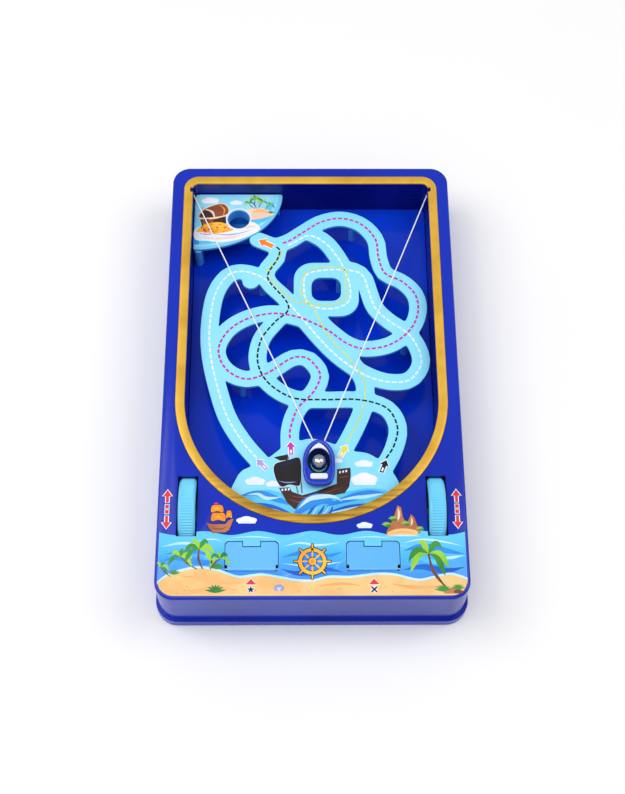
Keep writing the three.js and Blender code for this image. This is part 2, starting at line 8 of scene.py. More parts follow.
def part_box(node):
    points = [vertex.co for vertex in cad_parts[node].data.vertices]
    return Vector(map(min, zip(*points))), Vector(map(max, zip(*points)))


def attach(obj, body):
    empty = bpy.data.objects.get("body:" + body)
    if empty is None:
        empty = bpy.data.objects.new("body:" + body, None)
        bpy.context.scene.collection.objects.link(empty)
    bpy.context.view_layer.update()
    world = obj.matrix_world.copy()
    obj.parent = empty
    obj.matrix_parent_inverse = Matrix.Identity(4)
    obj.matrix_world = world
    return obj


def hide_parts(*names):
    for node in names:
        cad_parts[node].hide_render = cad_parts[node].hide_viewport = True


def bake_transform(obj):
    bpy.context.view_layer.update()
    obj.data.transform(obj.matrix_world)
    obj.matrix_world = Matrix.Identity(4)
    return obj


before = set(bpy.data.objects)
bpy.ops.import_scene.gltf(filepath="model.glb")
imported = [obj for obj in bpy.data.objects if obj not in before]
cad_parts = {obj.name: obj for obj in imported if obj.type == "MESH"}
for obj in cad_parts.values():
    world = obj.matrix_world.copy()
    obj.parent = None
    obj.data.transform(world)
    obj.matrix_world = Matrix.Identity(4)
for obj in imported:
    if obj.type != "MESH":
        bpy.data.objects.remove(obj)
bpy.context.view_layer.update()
MM = 0.001


def box_mm(node):
    """The lowest and highest corner of a CAD node in millimetres."""
    return [np.array(corner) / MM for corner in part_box(node)]


# ---------------------------------------------------------------- camera
# The case is seen from its player's side, 0.9 m away and 63 degrees above the table.
# It is turned a degree to the left and leans a degree, as a hand-held shot does.

cover_top = box_mm("top_cover")[1][2]
height, turn, lean = np.radians(63), 0.0197, -0.0164
COVER_SEEN_AT = np.array([-0.733, 19.659, -911.4])
turned = np.array([[np.cos(turn), -np.sin(turn), 0], [np.sin(turn), np.cos(turn), 0], [0, 0, 1]])
raised = np.array([[1, 0, 0], [0, np.sin(height), np.cos(height)], [0, -np.cos(height), np.sin(height)]])
leant = np.array([[np.cos(lean), -np.sin(lean), 0], [np.sin(lean), np.cos(lean), 0], [0, 0, 1]])
axes = leant @ raised @ turned
# the middle of the cover's top lies at COVER_SEEN_AT in the camera's own axes
stand = -axes.T @ COVER_SEEN_AT + [0, 0, cover_top]

camera = bpy.data.objects.new("camera", bpy.data.cameras.new("camera"))
camera.data.lens = 64.0
camera.data.clip_start = 0.01
camera.matrix_world = Matrix.Translation(Vector(stand * MM)) @ Matrix(axes.T.tolist()).to_4x4()
bpy.context.scene.collection.objects.link(camera)
bpy.context.scene.camera = camera


# ---------------------------------------------------------------- pull strings
# White three-strand cotton string, 0.9 mm thick. Each leaves its spool under the cover, runs along the
# case's side and round a post in the window's corner, then goes straight to the boat's bow, always taut.

STRING_R = 0.45
STRING_PITCH = 2.6
STRING_STEP = 0.4


class Wire:
    """A shader socket to calculate with: each operator adds a Math node to its material."""

    def __init__(self, tree, socket):
        self.tree, self.socket = tree, socket

    def node(self, kind, settings=None, inputs=None, output=0):
        """Adds a node: its settings first, a ramp's stops among them, then values or links by socket."""
        made = self.tree.nodes.new(kind)
        for name, value in (settings or {}).items():
            if name != "stops":
                setattr(made, name, value)
                continue
            ramp = made.color_ramp.elements
            while len(ramp) < len(value):
                ramp.new(0.5)
            for stop, (place, colour) in zip(ramp, value):
                stop.position, stop.color = place, colour
        for name, value in (inputs or {}).items():
            if isinstance(value, Wire):
                self.tree.links.new(value.socket, made.inputs[name])
            else:
                made.inputs[name].default_value = value
        return Wire(self.tree, made.outputs[output])

    def math(self, operation, *values):
        """The result of a Math node."""
        return self.node("ShaderNodeMath", {"operation": operation}, dict(enumerate(values)))

    def __add__(self, other):
        return self.math("ADD", self, other)

    def __sub__(self, other):
        return self.math("SUBTRACT", self, other)

    def __rsub__(self, other):
        return self.math("SUBTRACT", other, self)

    def __mul__(self, other):
        return self.math("MULTIPLY", self, other)

    __radd__, __rmul__ = __add__, __mul__

    def step(self, low, high):
        """0 below low, 1 above high, and smooth between."""
        settings = {"interpolation_type": "SMOOTHSTEP"}
        return self.node("ShaderNodeMapRange", settings, {"Value": self, "From Min": low, "From Max": high})

    def noise(self, scale, detail=3.0, stretch=(1, 1, 1)):
        """Cloudy noise from 0 to 1 with scale lumps to the metre, its coordinates stretched by axis."""
        placed = self.node("ShaderNodeMapping", inputs={"Vector": self, "Scale": stretch})
        return self.node("ShaderNodeTexNoise", inputs={"Vector": placed, "Scale": scale, "Detail": detail})

    def blend(self, first, second):
        """The colour first where this wire is 0 and second where it is 1."""
        mixed = self.node("ShaderNodeMix", {"data_type": "RGBA"}, {"Factor": self}, output=2)
        for slot, colour in ((6, first), (7, second)):
            target = mixed.socket.node.inputs[slot]
            if isinstance(colour, Wire):
                self.tree.links.new(colour.socket, target)
            else:
                target.default_value = colour
        return mixed


def ink(code):
    """The linear colour of an sRGB hexadecimal number."""
    srgb = np.array([code >> 16, code >> 8 & 255, code & 255]) / 255
    linear = np.where(srgb <= 0.04045, srgb / 12.92, ((srgb + 0.055) / 1.055) ** 2.4)
    return (*linear.tolist(), 1.0)


def finish(name, **fixed):
    """A new material, with the shader's sockets that are even all over, and its Object coordinates."""
    made = bpy.data.materials.new(name)
    made.use_nodes = True
    shader = made.node_tree.nodes["Principled BSDF"]
    for socket, value in fixed.items():
        shader.inputs[socket.replace("_", " ")].default_value = value
    place = made.node_tree.nodes.new("ShaderNodeTexCoord").outputs["Object"]
    return made, Wire(made.node_tree, place)


def feed(made, **wires):
    """Links wires to sockets of a material's shader; Bump takes (height, strength, distance)."""
    shader = made.node_tree.nodes["Principled BSDF"]
    for socket, wire in wires.items():
        if socket == "Bump":
            height, strength, distance = wire
            inputs = {"Height": height, "Strength": strength, "Distance": distance}
            wire, socket = height.node("ShaderNodeBump", inputs=inputs), "Normal"
        made.node_tree.links.new(wire.socket, shader.inputs[socket.replace("_", " ")])
    return made


def surface(grid, close_rows=True, close_columns=True):
    """Vertices and faces of grid[row, column], a quad between each four neighbours; a side that is not
    joined round to the other ends in a flat cap where its rows are closed."""
    rows, columns = grid.shape[:2]
    index = np.arange(rows * columns).reshape(rows, columns)
    faces = []
    if not close_rows:
        faces = [index[0, ::-1].tolist(), index[-1].tolist()]
    if close_rows:
        index = np.vstack([index, index[:1]])
    if close_columns:
        index = np.hstack([index, index[:, :1]])
    quads = np.stack([index[:-1, :-1], index[:-1, 1:], index[1:, 1:], index[1:, :-1]], -1)
    return grid.reshape(-1, 3), quads.reshape(-1, 4).tolist() + faces


def tube(path, radius):
    """A twisted three-strand tube along path: round each point stands a section whose radius dips three
    times a turn, and the section turns once for each STRING_PITCH of length."""
    ahead = np.gradient(path, axis=0)
    ahead /= np.linalg.norm(ahead, axis=1)[:, None]
    side = np.cross(ahead, [0, 0, 1])
    side /= np.linalg.norm(side, axis=1)[:, None]
    up = np.cross(side, ahead)
    gone = np.r_[0, np.cumsum(np.linalg.norm(np.diff(path, axis=0), axis=1))]
    angle = np.linspace(0, 2 * np.pi, 15, endpoint=False)
    lobes = radius * (0.9 + 0.1 * np.cos(3 * (angle - 2 * np.pi * gone[:, None] / STRING_PITCH)))
    return (path[:, None] + side[:, None] * (lobes * np.cos(angle))[..., None]
            + up[:, None] * (lobes * np.sin(angle))[..., None])


def curve_through(points, closed=False, steps=12):
    """Catmull-Rom curve: each stretch is the cubic whose slope at a point is half the way between the
    points before and after it."""
    p = np.asarray(points, float)
    p = np.vstack([p[-1:], p, p[:2]] if closed else [p[:1], p, p[-1:]])
    a, b, c, d = p[:-3], p[1:-2], p[2:-1], p[3:]
    t = np.linspace(0, 1, steps, endpoint=False)[:, None, None]
    cubic = b + (c - a) / 2 * t + (a - 2.5 * b + 2 * c - d / 2) * t**2 + (1.5 * (b - c) + (d - a) / 2) * t**3
    walked = cubic.transpose(1, 0, 2).reshape(-1, p.shape[1])
    return walked if closed else np.vstack([walked, p[-2:-1]])


def evenly(path, step):
    """The same path with its points a step apart."""
    gone = np.r_[0, np.cumsum(np.linalg.norm(np.diff(path, axis=0), axis=1))]
    at = np.linspace(0, gone[-1], max(2, round(gone[-1] / step) + 1))
    return np.stack([np.interp(at, gone, path[:, k]) for k in range(path.shape[1])], -1)


def link(name, shapes, *finishes, smooth=35):
    """An object of one mesh, made of (vertices in mm, faces) shapes, the nth with the nth finish when there
    are several finishes. Faces turn outwards, and edges sharper than smooth degrees stay crisp."""
    vertices, faces, slots, start = [], [], [], 0
    for number, (points, polygons) in enumerate(shapes):
        vertices.append(np.asarray(points) * MM)
        faces += [[start + corner for corner in polygon] for polygon in polygons]
        slots += [number if len(finishes) > 1 else 0] * len(polygons)
        start += len(points)
    mesh = bpy.data.meshes.new(name)
    mesh.from_pydata(np.vstack(vertices).tolist(), [], faces)
    for made in finishes:
        mesh.materials.append(made)
    mesh.polygons.foreach_set("material_index", slots)
    return link_mesh(name, mesh, smooth)


def link_mesh(name, mesh, smooth=35):
    """An object of a mesh, its faces turned outwards and its shading smooth up to an angle in degrees."""
    shape = bmesh.new()
    shape.from_mesh(mesh)
    bmesh.ops.recalc_face_normals(shape, faces=shape.faces)
    shape.to_mesh(mesh)
    shape.free()
    mesh.shade_smooth()
    mesh.set_sharp_from_angle(angle=np.radians(smooth))
    made = bpy.data.objects.new(name, mesh)
    bpy.context.scene.collection.objects.link(made)
    return made


cotton, place = finish("white_cotton_string", Sheen_Weight=0.25, Specular_IOR_Level=0.3)
fibre = place.noise(5200, 4)
feed(cotton, Base_Color=fibre.step(0.25, 0.75).blend(ink(0xF2F4F8), ink(0xFFFFFF)),
     Roughness=0.75 + 0.2 * fibre, Bump=(fibre, 0.5, 0.00012))

SPOOL_EXIT = [86.9, -96, 34.7]
HIDDEN_RUN = [[86.9, -70, 36], [86.9, 0, 37.4], [87, 90, 38], [87.1, 125, 38]]
GUIDE = {"x": 84, "y": 138, "z": 38, "turn": 3.15}
BOAT_END = {"x": 4.5, "spread": 3.6, "y": -50.2, "z": 38}

for side, name in ((-1, "left"), (1, "right")):
    mirror = np.array([side, 1, 1])
    angle = np.linspace(0, np.pi, 9)
    bend = np.stack([GUIDE["x"] + GUIDE["turn"] * np.cos(angle), GUIDE["y"] + GUIDE["turn"] * np.sin(angle),
                     np.full(len(angle), GUIDE["z"])], -1)
    run = curve_through(np.vstack([[SPOOL_EXIT], HIDDEN_RUN, bend]) * mirror)
    corner = bend[-1] * mirror
    hitch = np.array([BOAT_END["x"] + side * BOAT_END["spread"], BOAT_END["y"], BOAT_END["z"]])
    path = evenly(np.vstack([run, hitch]), STRING_STEP)
    string = link(f"tow_string_{name}", [surface(tube(path, STRING_R), close_rows=False)], cotton, smooth=60)
    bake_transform(string)
    # a taut string stays straight while it shortens; each point past the guide gets its share of the way
    # from the guide to the boat, and the shares are not put to use
    hidden = np.linalg.norm(np.diff(run, axis=0), axis=1).sum()
    share = np.clip((path - corner) @ (hitch - corner) / np.sum((hitch - corner) ** 2), 0, 1)
    share[np.arange(len(path)) * STRING_STEP < hidden] = 0
    share = np.repeat(share, len(string.data.vertices) // len(path)).astype(np.float32)
    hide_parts(f"pull_string_{name}")


# ---------------------------------------------------------------- case
# Two shells of glossy navy polystyrene: a shallow base tray with a lip all round, and the tall cover
# that six screws pull down on it. Moulded smooth, with faint flow marks and the first light scuffs.

WELD = 2e-6


def polished(name, node, made, edge=0.3, smooth=35):
    """A copy of a CAD node: corners nearer than WELD joined, flat faces made whole, edges rounded."""
    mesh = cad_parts[node].data.copy()
    shape = bmesh.new()
    shape.from_mesh(mesh)
    bmesh.ops.remove_doubles(shape, verts=shape.verts, dist=WELD)
    bmesh.ops.dissolve_limit(shape, angle_limit=np.radians(0.4), verts=shape.verts, edges=shape.edges)
    shape.to_mesh(mesh)
    shape.free()
    mesh.materials.clear()
    mesh.materials.append(made)
    copied = link_mesh(name, mesh, smooth)
    if edge:
        rounding = copied.modifiers.new("edges", "BEVEL")
        rounding.width = edge * MM
        rounding.segments = 2
        rounding.limit_method = "ANGLE"
        rounding.angle_limit = np.radians(40)
        rounding.harden_normals = True
    return copied


def moulded(name, colour, shade, roughness, grain=0.05, **fixed):
    """Moulded plastic: slow flow marks in the colour, a little unevenness in the gloss, fine short scuffs
    and an almost flat ripple."""
    made, place = finish(name, **fixed)
    flow = place.noise(14, 3, (1, 0.35, 1))
    grains = place.noise(2600, 2)
    scuffs = place.noise(900, 2, (0.06, 1, 1)).step(0.66, 0.74) * place.noise(25, 2).step(0.45, 0.7)
    return feed(made, Base_Color=flow.step(0.3, 0.7).blend(ink(colour), ink(shade)),
                Roughness=roughness - grain / 2 + grain * flow + 0.22 * scuffs,
                Bump=(0.8 * flow + 0.1 * grains - 0.1 * scuffs, 0.12, 0.0004))


navy = moulded("case_navy_gloss", 0x0C2FBC, 0x0826A6, 0.16, Specular_IOR_Level=0.35)
for name in ("base_tray", "top_cover"):
    shell = polished(name + "_shell", name, navy)
    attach(shell, "root")
    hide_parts(name)


# ---------------------------------------------------------------- gold frame
# A raised bead of gold-coated plastic round the window. It is crowned, satin bright, brushed along its
# length, and has a notch near each far corner, above the string.

WINDOW = {"r": 81, "arc_y": -22, "far": 143, "corner": 4}
FRAME_W = 6
NOTCH_AT, NOTCH_SIZE = (81.4, 138, 45), (3, 3.6, 4)


def window_outline(grow):
    """The window's outline: a half circle near the player, straight sides and two rounded far corners,
    every point grown outwards by the same amount and named by the same angle."""
    near = np.linspace(np.pi, 2 * np.pi, 121)
    right, left = np.linspace(0, np.pi / 2, 13), np.linspace(np.pi / 2, np.pi, 13)
    r, far = WINDOW["r"], WINDOW["far"]
    corner = WINDOW["corner"]
    arcs = [(0, WINDOW["arc_y"], r + grow, near), (r - corner, far - corner, corner + grow, right),
            (corner - r, far - corner, corner + grow, left)]
    rounds = [np.stack([x + size * np.cos(a), y + size * np.sin(a)], -1) for x, y, size, a in arcs]
    sides = np.linspace(0, 1, 40, endpoint=False)[1:, None]
    up = rounds[0][-1] + (rounds[1][0] - rounds[0][-1]) * sides
    across = rounds[1][-1] + (rounds[2][0] - rounds[1][-1]) * sides
    down = rounds[2][-1] + (rounds[0][0] - rounds[2][-1]) * sides
    return np.vstack([rounds[0], up, rounds[1], across, rounds[2], down])


def swept(profile):
    """A closed ring: each point (outwards, up) of the profile is carried round the window's outline."""
    return np.stack([np.column_stack([window_outline(out), np.full(len(window_outline(0)), up)])
                     for out, up in profile])


frame_low, frame_high = (corner[2] for corner in box_mm("window_bezel"))
crown = np.linspace(0, np.pi, 9)
bead = [(0, frame_low), (0, frame_high - 0.75)]
bead += [(FRAME_W / 2 * (1 - np.cos(a)), frame_high - 0.7 + 0.7 * np.sin(a) ** 0.6) for a in crown]
bead += [(FRAME_W, frame_high - 0.75), (FRAME_W, frame_low)]

gold, place = finish("gold_coated_trim", Metallic=0.45, Specular_IOR_Level=0.3)
brushing = place.noise(700, 4, (1, 0.05, 1))
tarnish = place.noise(45, 3)
# the bead's near part turns darker brown in streaks along x, by its position alone
front = place.node("ShaderNodeSeparateXYZ", inputs={"Vector": place}, output=1).step(-0.06, -0.1)
darker_near_part = front * (0.4 + 0.5 * place.noise(420, 2, (0.08, 1, 1)).step(0.35, 0.65))
coating = tarnish.step(0.3, 0.75).blend(ink(0xF2C04A), ink(0xDCA636))
feed(gold, Base_Color=darker_near_part.blend(coating, ink(0x8C6A20)), Roughness=0.34 + 0.14 * brushing,
     Bump=(brushing, 0.25, 0.0002))
trim = link("gold_frame", [surface(swept(bead))], gold, smooth=40)
notch = bpy.data.objects.new("notches", bpy.data.meshes.new("notches"))
cutter = bmesh.new()
shrunk = Matrix.Diagonal([*(size * MM for size in NOTCH_SIZE), 1])
for side in (-1, 1):
    there = Matrix.Translation([side * NOTCH_AT[0] * MM, NOTCH_AT[1] * MM, NOTCH_AT[2] * MM])
    bmesh.ops.create_cube(cutter, size=1.0, matrix=there @ shrunk)
cutter.to_mesh(notch.data)
cutter.free()


def carved(target, tool):
    """Cuts the tool's solids out of the target's mesh for good, then removes the tool."""
    bpy.context.scene.collection.objects.link(tool)
    cut = target.modifiers.new("cut", "BOOLEAN")
    cut.object, cut.operation, cut.solver = tool, "DIFFERENCE", "EXACT"
    bpy.context.view_layer.update()
    whole = target.evaluated_get(bpy.context.evaluated_depsgraph_get())
    mesh = bpy.data.meshes.new_from_object(whole)
    target.modifiers.clear()
    target.data = mesh
    bpy.data.objects.remove(tool)


carved(trim, notch)
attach(trim, "root")
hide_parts("window_bezel")


# ---------------------------------------------------------------- printed face
# A thin glossy film over the near third of the cover, printed with a beach and waves. A little
# more is printed straight on the cover: turning arrows, two clouds, a small ship and a rocky islet.

PRINT_LAYER, PRINT_SINK = 0.03, 0.02
STROKE_STEP = 0.7


def printed(name, colour, shade, roughness=0.28):
    """Screen-printed ink: two close tones in soft patches, a fine dot and a satin clear film."""
    made, place = finish(name, Specular_IOR_Level=0.35, Coat_Weight=0.12, Coat_Roughness=0.12)
    patches = place.noise(60, 2)
    dots = place.noise(3000, 1)
    return feed(made, Base_Color=patches.step(0.35, 0.65).blend(ink(colour), ink(shade)),
                Roughness=roughness + 0.1 * dots, Bump=(dots, 0.08, 0.0001))


TONES = {
    "white": (0xF6F8FC, 0xEAF0FA), "red": (0xE5383B, 0xD92F38), "navy": (0x131A5E, 0x0E134A),
    "foam": (0xCFF2FD, 0xB4E9FB), "sand": (0xF8CE8C, 0xF2BE78), "dune": (0xEDAE68, 0xF3BC7C),
    "leaf": (0xA6D93B, 0x7FC432), "fern": (0x3E9B3A, 0x2B7F35), "bark": (0x7A4A3C, 0x5E362F),
    "rock": (0xC98055, 0xA9623F), "orange": (0xFB9F1E, 0xF0861A), "wave": (0x2E96F2, 0x2384E8),
    "shallow": (0x63D3F6, 0x50C2F3), "lilac": (0xA9B8EC, 0x8E9FE0), "gold": (0xFFC73A, 0xF7A823),
    "pink": (0xCE36AC, 0xBE2C9E), "yellow": (0xE8E04A, 0xDAD43C), "black": (0x14161F, 0x0C0D14),
    "timber": (0x45291F, 0x331E1A), "sail": (0x1C1620, 0x131018), "sky": (0x9FE4FB, 0x8ADAF7),
    "deep": (0x1668D8, 0x1059C6), "chest": (0x9A5236, 0x7C3E2A), "blush": (0xFBDCC8, 0xF8CDB4),
    "violet": (0xB7A8E8, 0xA293DE), "amber": (0xFF8A2B, 0xF97A1E),
}
INKS = {name: printed("ink_" + name, *tones) for name, tones in TONES.items()}


def left_normal(loop):
    """Unit vectors to the left of a closed plan loop at each of its points."""
    ahead = np.roll(loop, -1, 0) - np.roll(loop, 1, 0)
    ahead /= np.linalg.norm(ahead, axis=1)[:, None] + 1e-12
    return np.stack([-ahead[:, 1], ahead[:, 0]], -1)


def wound(loop, left=True):
    """The loop in the order that has its inside on the left, or on the right."""
    loop = np.asarray(loop, float)
    x, y = loop.T
    area = np.sum(x * np.roll(y, -1) - y * np.roll(x, -1))
    return loop if (area > 0) == left else loop[::-1]


def filled(loops):
    """The triangles that fill flat loops: a Delaunay net that keeps every loop's edges, less the triangles
    whose centre lies inside an even number of loops, by the count of edges that a ray to +X crosses."""
    flat = np.vstack(loops)
    firsts = np.cumsum([0] + [len(loop) for loop in loops[:-1]])
    edges = np.vstack([first + np.stack([np.arange(len(loop)), np.roll(np.arange(len(loop)), -1)], -1)
                       for first, loop in zip(firsts, loops)])
    found = delaunay_2d_cdt([Vector(p) for p in flat], edges.tolist(), [], 0, 1e-6)
    source = np.array([origin[0] for origin in found[3]])
    triangles = source[np.array(found[2])]
    centre = flat[triangles].mean(1)
    crossed = np.zeros(len(centre), int)
    for loop in loops:
        start, end = loop, np.roll(loop, -1, 0)
        with np.errstate(divide="ignore", invalid="ignore"):
            slope = (end[:, 0] - start[:, 0]) / (end[:, 1] - start[:, 1])
        spans = (start[:, 1] > centre[:, 1:]) != (end[:, 1] > centre[:, 1:])
        crossed += (spans & (centre[:, :1] < start[:, 0] + slope * (centre[:, 1:] - start[:, 1]))).sum(1)
    return triangles[crossed % 2 == 1]


def plate(loops, low, high, edge):
    """A flat plate: the first loop is its outline and the rest are holes. Its rim is a wall with a quarter
    round of radius edge above and below, each round a loop moved inwards by edge times 1 - sin."""
    loops = [wound(loop, number == 0) for number, loop in enumerate(loops)]
    quarter = np.linspace(0, np.pi / 2, 4) if edge else np.zeros(1)
    inset = edge * (1 - np.sin(quarter))
    rise = edge * (1 - np.cos(quarter))
    ring = [*zip(inset, low + rise), *zip(inset[::-1], high - rise[::-1])]
    points, faces, firsts = [], [], [0]
    for loop in loops:
        inward = left_normal(loop)
        wall = np.stack([np.column_stack([loop + inward * i, np.full(len(loop), z)]) for i, z in ring])
        corners, quads = surface(wall, close_rows=False)
        faces += [[firsts[-1] + corner for corner in quad] for quad in quads[:-2]]
        points.append(corners)
        firsts.append(firsts[-1] + len(corners))
    triangles = filled(loops)
    for row in (0, len(ring) - 1):
        index = np.concatenate([first + row * len(loop) + np.arange(len(loop))
                                for first, loop in zip(firsts, loops)])
        faces += index[triangles].tolist()
    return np.vstack(points), faces


def print_on(name, ground, areas, lift=PRINT_SINK):
    """One object of thin printed areas on a level ground. Each area is (ink, layer, loop). Its face lies
    layer steps above the lift, a share of a step more in turn so that no two faces meet, and its edge
    goes down to just under the ground."""
    used = sorted({colour for colour, _, _ in areas})
    shapes = []
    for colour in used:
        points, faces, start = [], [], 0
        for order, (_, layer, loop) in enumerate(area for area in areas if area[0] == colour):
            top = ground + lift + (layer + order % 6 / 8) * PRINT_LAYER
            flat, around = plate([loop], ground - PRINT_SINK, top, 0)
            points.append(flat)
            faces += [[start + corner for corner in face] for face in around]
            start += len(flat)
        shapes.append((np.vstack(points), faces))
    made = link(name, shapes, *[INKS[colour] for colour in used], smooth=20)
    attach(made, "root")
    return made


def streak(points, width, tip=0.0):
    """A tapering stroke along a curve: as wide as width times the sine of its share of the length, and
    never thinner than tip."""
    line = evenly(curve_through(points), STROKE_STEP)
    share = np.linspace(0, 1, len(line))
    half = np.maximum(width * np.sin(np.pi * share), tip)[:, None] / 2
    ahead = np.gradient(line, axis=0)
    across = np.stack([-ahead[:, 1], ahead[:, 0]], -1) / (np.linalg.norm(ahead, axis=1)[:, None] + 1e-12)
    return np.vstack([line + across * half, (line - across * half)[::-1]])


def cloud(x, y, w, h, lumps=5):
    """A cloud: an ellipse whose radius swells lumps times round, cut flat underneath."""
    angle = np.linspace(0, 2 * np.pi, 60, endpoint=False)
    swell = 0.86 + 0.14 * np.abs(np.sin(lumps * angle / 2 + 0.6))
    return np.stack([x + w / 2 * swell * np.cos(angle),
                     np.maximum(y + h / 2 * swell * np.sin(angle), y - h * 0.28)], -1)


def turned_by(loop, degrees, x=0, y=0):
    """The loop turned about the origin and then moved to x, y."""
    a = np.radians(degrees)
    return np.asarray(loop, float) @ np.array([[np.cos(a), np.sin(a)], [-np.sin(a), np.cos(a)]]) + [x, y]


def palm(foot, crown, reach, fronds, layer, colours=("leaf", "fern")):
    """A palm: a tapering trunk that leans from foot to crown, and fronds that arch out and droop."""
    foot, crown = np.array(foot, float), np.array(crown, float)
    middle = (foot + crown) / 2 + [0.12 * (foot[1] - crown[1]), 0]
    areas = [("bark", layer, streak([foot, middle, crown], reach * 0.16, reach * 0.09))]
    for number, angle in enumerate(np.radians(fronds)):
        out = np.array([np.cos(angle), np.sin(angle)]) * reach
        tip = crown + out - [0, reach * (0.3 + 0.25 * abs(np.cos(angle)))]
        areas.append((colours[number % 2], layer + 1 + number % 2,
                      streak([crown, crown + out * 0.55 + [0, reach * 0.12], tip], reach * 0.3)))
    return areas


def tuft(x, y, reach, layer, colour="fern"):
    """A tuft of grass: blades that fan out from one root."""
    blades = [[(x, y), (x + reach * 0.5 * np.cos(a), y + reach * 0.6 * np.sin(a)),
               (x + reach * np.cos(a), y + reach * 0.8 * np.sin(a))]
              for a in np.radians(np.linspace(20, 160, 7))]
    return [(colour, layer, streak(blade, reach * 0.22, 0.15)) for blade in blades]


def outlined(loop, grow, rim, colour, layer):
    """A flat mark with a rim of another ink, the rim being the loop grown outwards."""
    loop = wound(loop)
    return [(rim, layer, loop - left_normal(loop) * grow), (colour, layer + 1, loop)]


label_low, label_high = box_mm("face_label")
LABEL_CORNER = 10
door_low, door_high = box_mm("win_door")
wheel_low, wheel_high = box_mm("thumbwheel_right")
SLOT_GAP, SLOT_NEAR = 1.0, -117
TONGUE_HALF, TONGUE_REACH = 5.2, 3
HOLE_GAP, HOLE_CORNER = 0.35, 2.5


def sea_line(x):
    """The far edge of the printed sea: a row of low waves 33 mm long."""
    return -115 + 1.3 * np.cos(2 * np.pi * x / 33)


def near_rim(x_from, x_to):
    """The film's near edge from one x to another: its bottom side with a quarter round at each corner."""
    x = np.linspace(x_from, x_to, 120)
    past = np.clip(np.abs(x) - (label_high[0] - LABEL_CORNER), 0, LABEL_CORNER)
    return np.stack([x, label_low[1] + LABEL_CORNER - np.sqrt(LABEL_CORNER**2 - past**2)], -1)


def door_hole(side):
    """The opening over a ball tray, with the tongue that enters the door's notch from the far side."""
    x, r = side * (door_low[0] + door_high[0]) / -2, HOLE_CORNER
    half = (door_high[0] - door_low[0]) / 2 + HOLE_GAP
    near, far = door_low[1] - HOLE_GAP, door_high[1] + HOLE_GAP
    quarter = np.linspace(0, np.pi / 2, 7)
    rounds = [np.stack([x + sx * (half - r) + r * np.cos(quarter + a), y + r * np.sin(quarter + a)], -1)
              for sx, y, a in ((1, far - r, 0), (-1, far - r, np.pi / 2), (-1, near + r, np.pi),
                               (1, near + r, 1.5 * np.pi))]
    tip = far - HOLE_GAP - TONGUE_REACH
    tongue = [(x + TONGUE_HALF, far), (x + TONGUE_HALF, tip), (x - TONGUE_HALF, tip), (x - TONGUE_HALF, far)]
    return np.vstack([rounds[0], tongue, rounds[1], rounds[2], rounds[3]])


wave_x = np.linspace(label_high[0], label_low[0], 160)
outline = np.vstack([near_rim(label_low[0], label_high[0]), np.stack([wave_x, sea_line(wave_x)], -1)])
wheel_middle = (wheel_low[0] + wheel_high[0]) / 2
slot_half = (wheel_high[0] - wheel_low[0]) / 2 + SLOT_GAP
film, place = finish("ink_sea", Coat_Weight=0.35, Coat_Roughness=0.12)
depth = place.node("ShaderNodeSeparateXYZ", inputs={"Vector": place}, output=1)
swirl = place.noise(26, 2, (0.35, 1, 1))
tide = (depth + 0.012 * swirl).step(-0.146, -0.112)
sea = tide.node("ShaderNodeValToRGB", {"stops": [(0.0, ink(0x2480EE)), (0.32, ink(0x2F97F5)),
                                                 (0.55, ink(0x38A8F6)), (0.8, ink(0x44BAF6)),
                                                 (1.0, ink(0x62CEF6))]}, {"Fac": tide})
ripples = (swirl * 9 + place.noise(120, 1, (0.2, 1, 1))).math("FRACT", swirl * 9).step(0.9, 1.0)
feed(film, Base_Color=(0.25 * ripples).blend(sea, ink(0xA9E8FA)), Roughness=0.26 + 0.1 * swirl,
     Bump=(place.noise(3000, 1), 0.06, 0.0001))

# a thumbwheel's slot passes the wavy edge, so the outline dips round it
for side in (-1, 1):
    left, right = side * wheel_middle - slot_half, side * wheel_middle + slot_half
    inside = (outline[:, 0] > left) & (outline[:, 0] < right) & (outline[:, 1] > SLOT_NEAR - 1)
    first = int(np.argmax(inside))
    dip = np.array([(right, sea_line(right)), (right, SLOT_NEAR), (left, SLOT_NEAR), (left, sea_line(left))])
    outline = np.vstack([outline[:first], dip, outline[first + inside.sum():]])
cut_film = plate([outline, door_hole(-1), door_hole(1)], label_low[2], label_high[2], 0.06)
sheet = link("printed_film", [cut_film], film)
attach(sheet, "root")
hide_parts("face_label")

SHORE = [(-93, -147), (-88, -142.8), (-80, -139.5), (-68, -137.3), (-57, -139.2), (-45, -143.3),
         (-37, -142.6), (-30, -142), (-20, -143.6), (-10, -145.5), (0, -145.8), (10, -143.5), (22, -143.6),
         (31, -142.6), (40, -141.7), (50, -142.3), (63, -145.5), (72, -144), (82, -141.8), (88, -143),
         (93, -145)]
shore = curve_through(SHORE)
beach = [("sand", 0, np.vstack([near_rim(label_low[0] + 0.2, label_high[0] - 0.2), shore[::-1]]))]
beach.append(("foam", 1, np.vstack([shore + [0, 1.1], (shore - [0, 0.35])[::-1]])))
for points, width in (([(-90, -150), (-74, -152.5), (-58, -150), (-44, -152)], 2.6),
                      ([(-82, -142), (-66, -144), (-50, -147), (-40, -146.5)], 2.0),
                      ([(2, -149), (18, -147.5), (30, -149)], 1.6),
                      ([(46, -147.5), (62, -150), (78, -149)], 2.2)):
    beach.append(("dune", 1, streak(points, width)))
rng = np.random.default_rng(7)
for x, y in zip(rng.uniform(-82, 76, 26), rng.uniform(-153.5, -148.5, 26)):
    beach.append(("rock", 2, np.array([(x - 0.5, y), (x, y - 0.2), (x + 0.5, y), (x, y + 0.2)])))

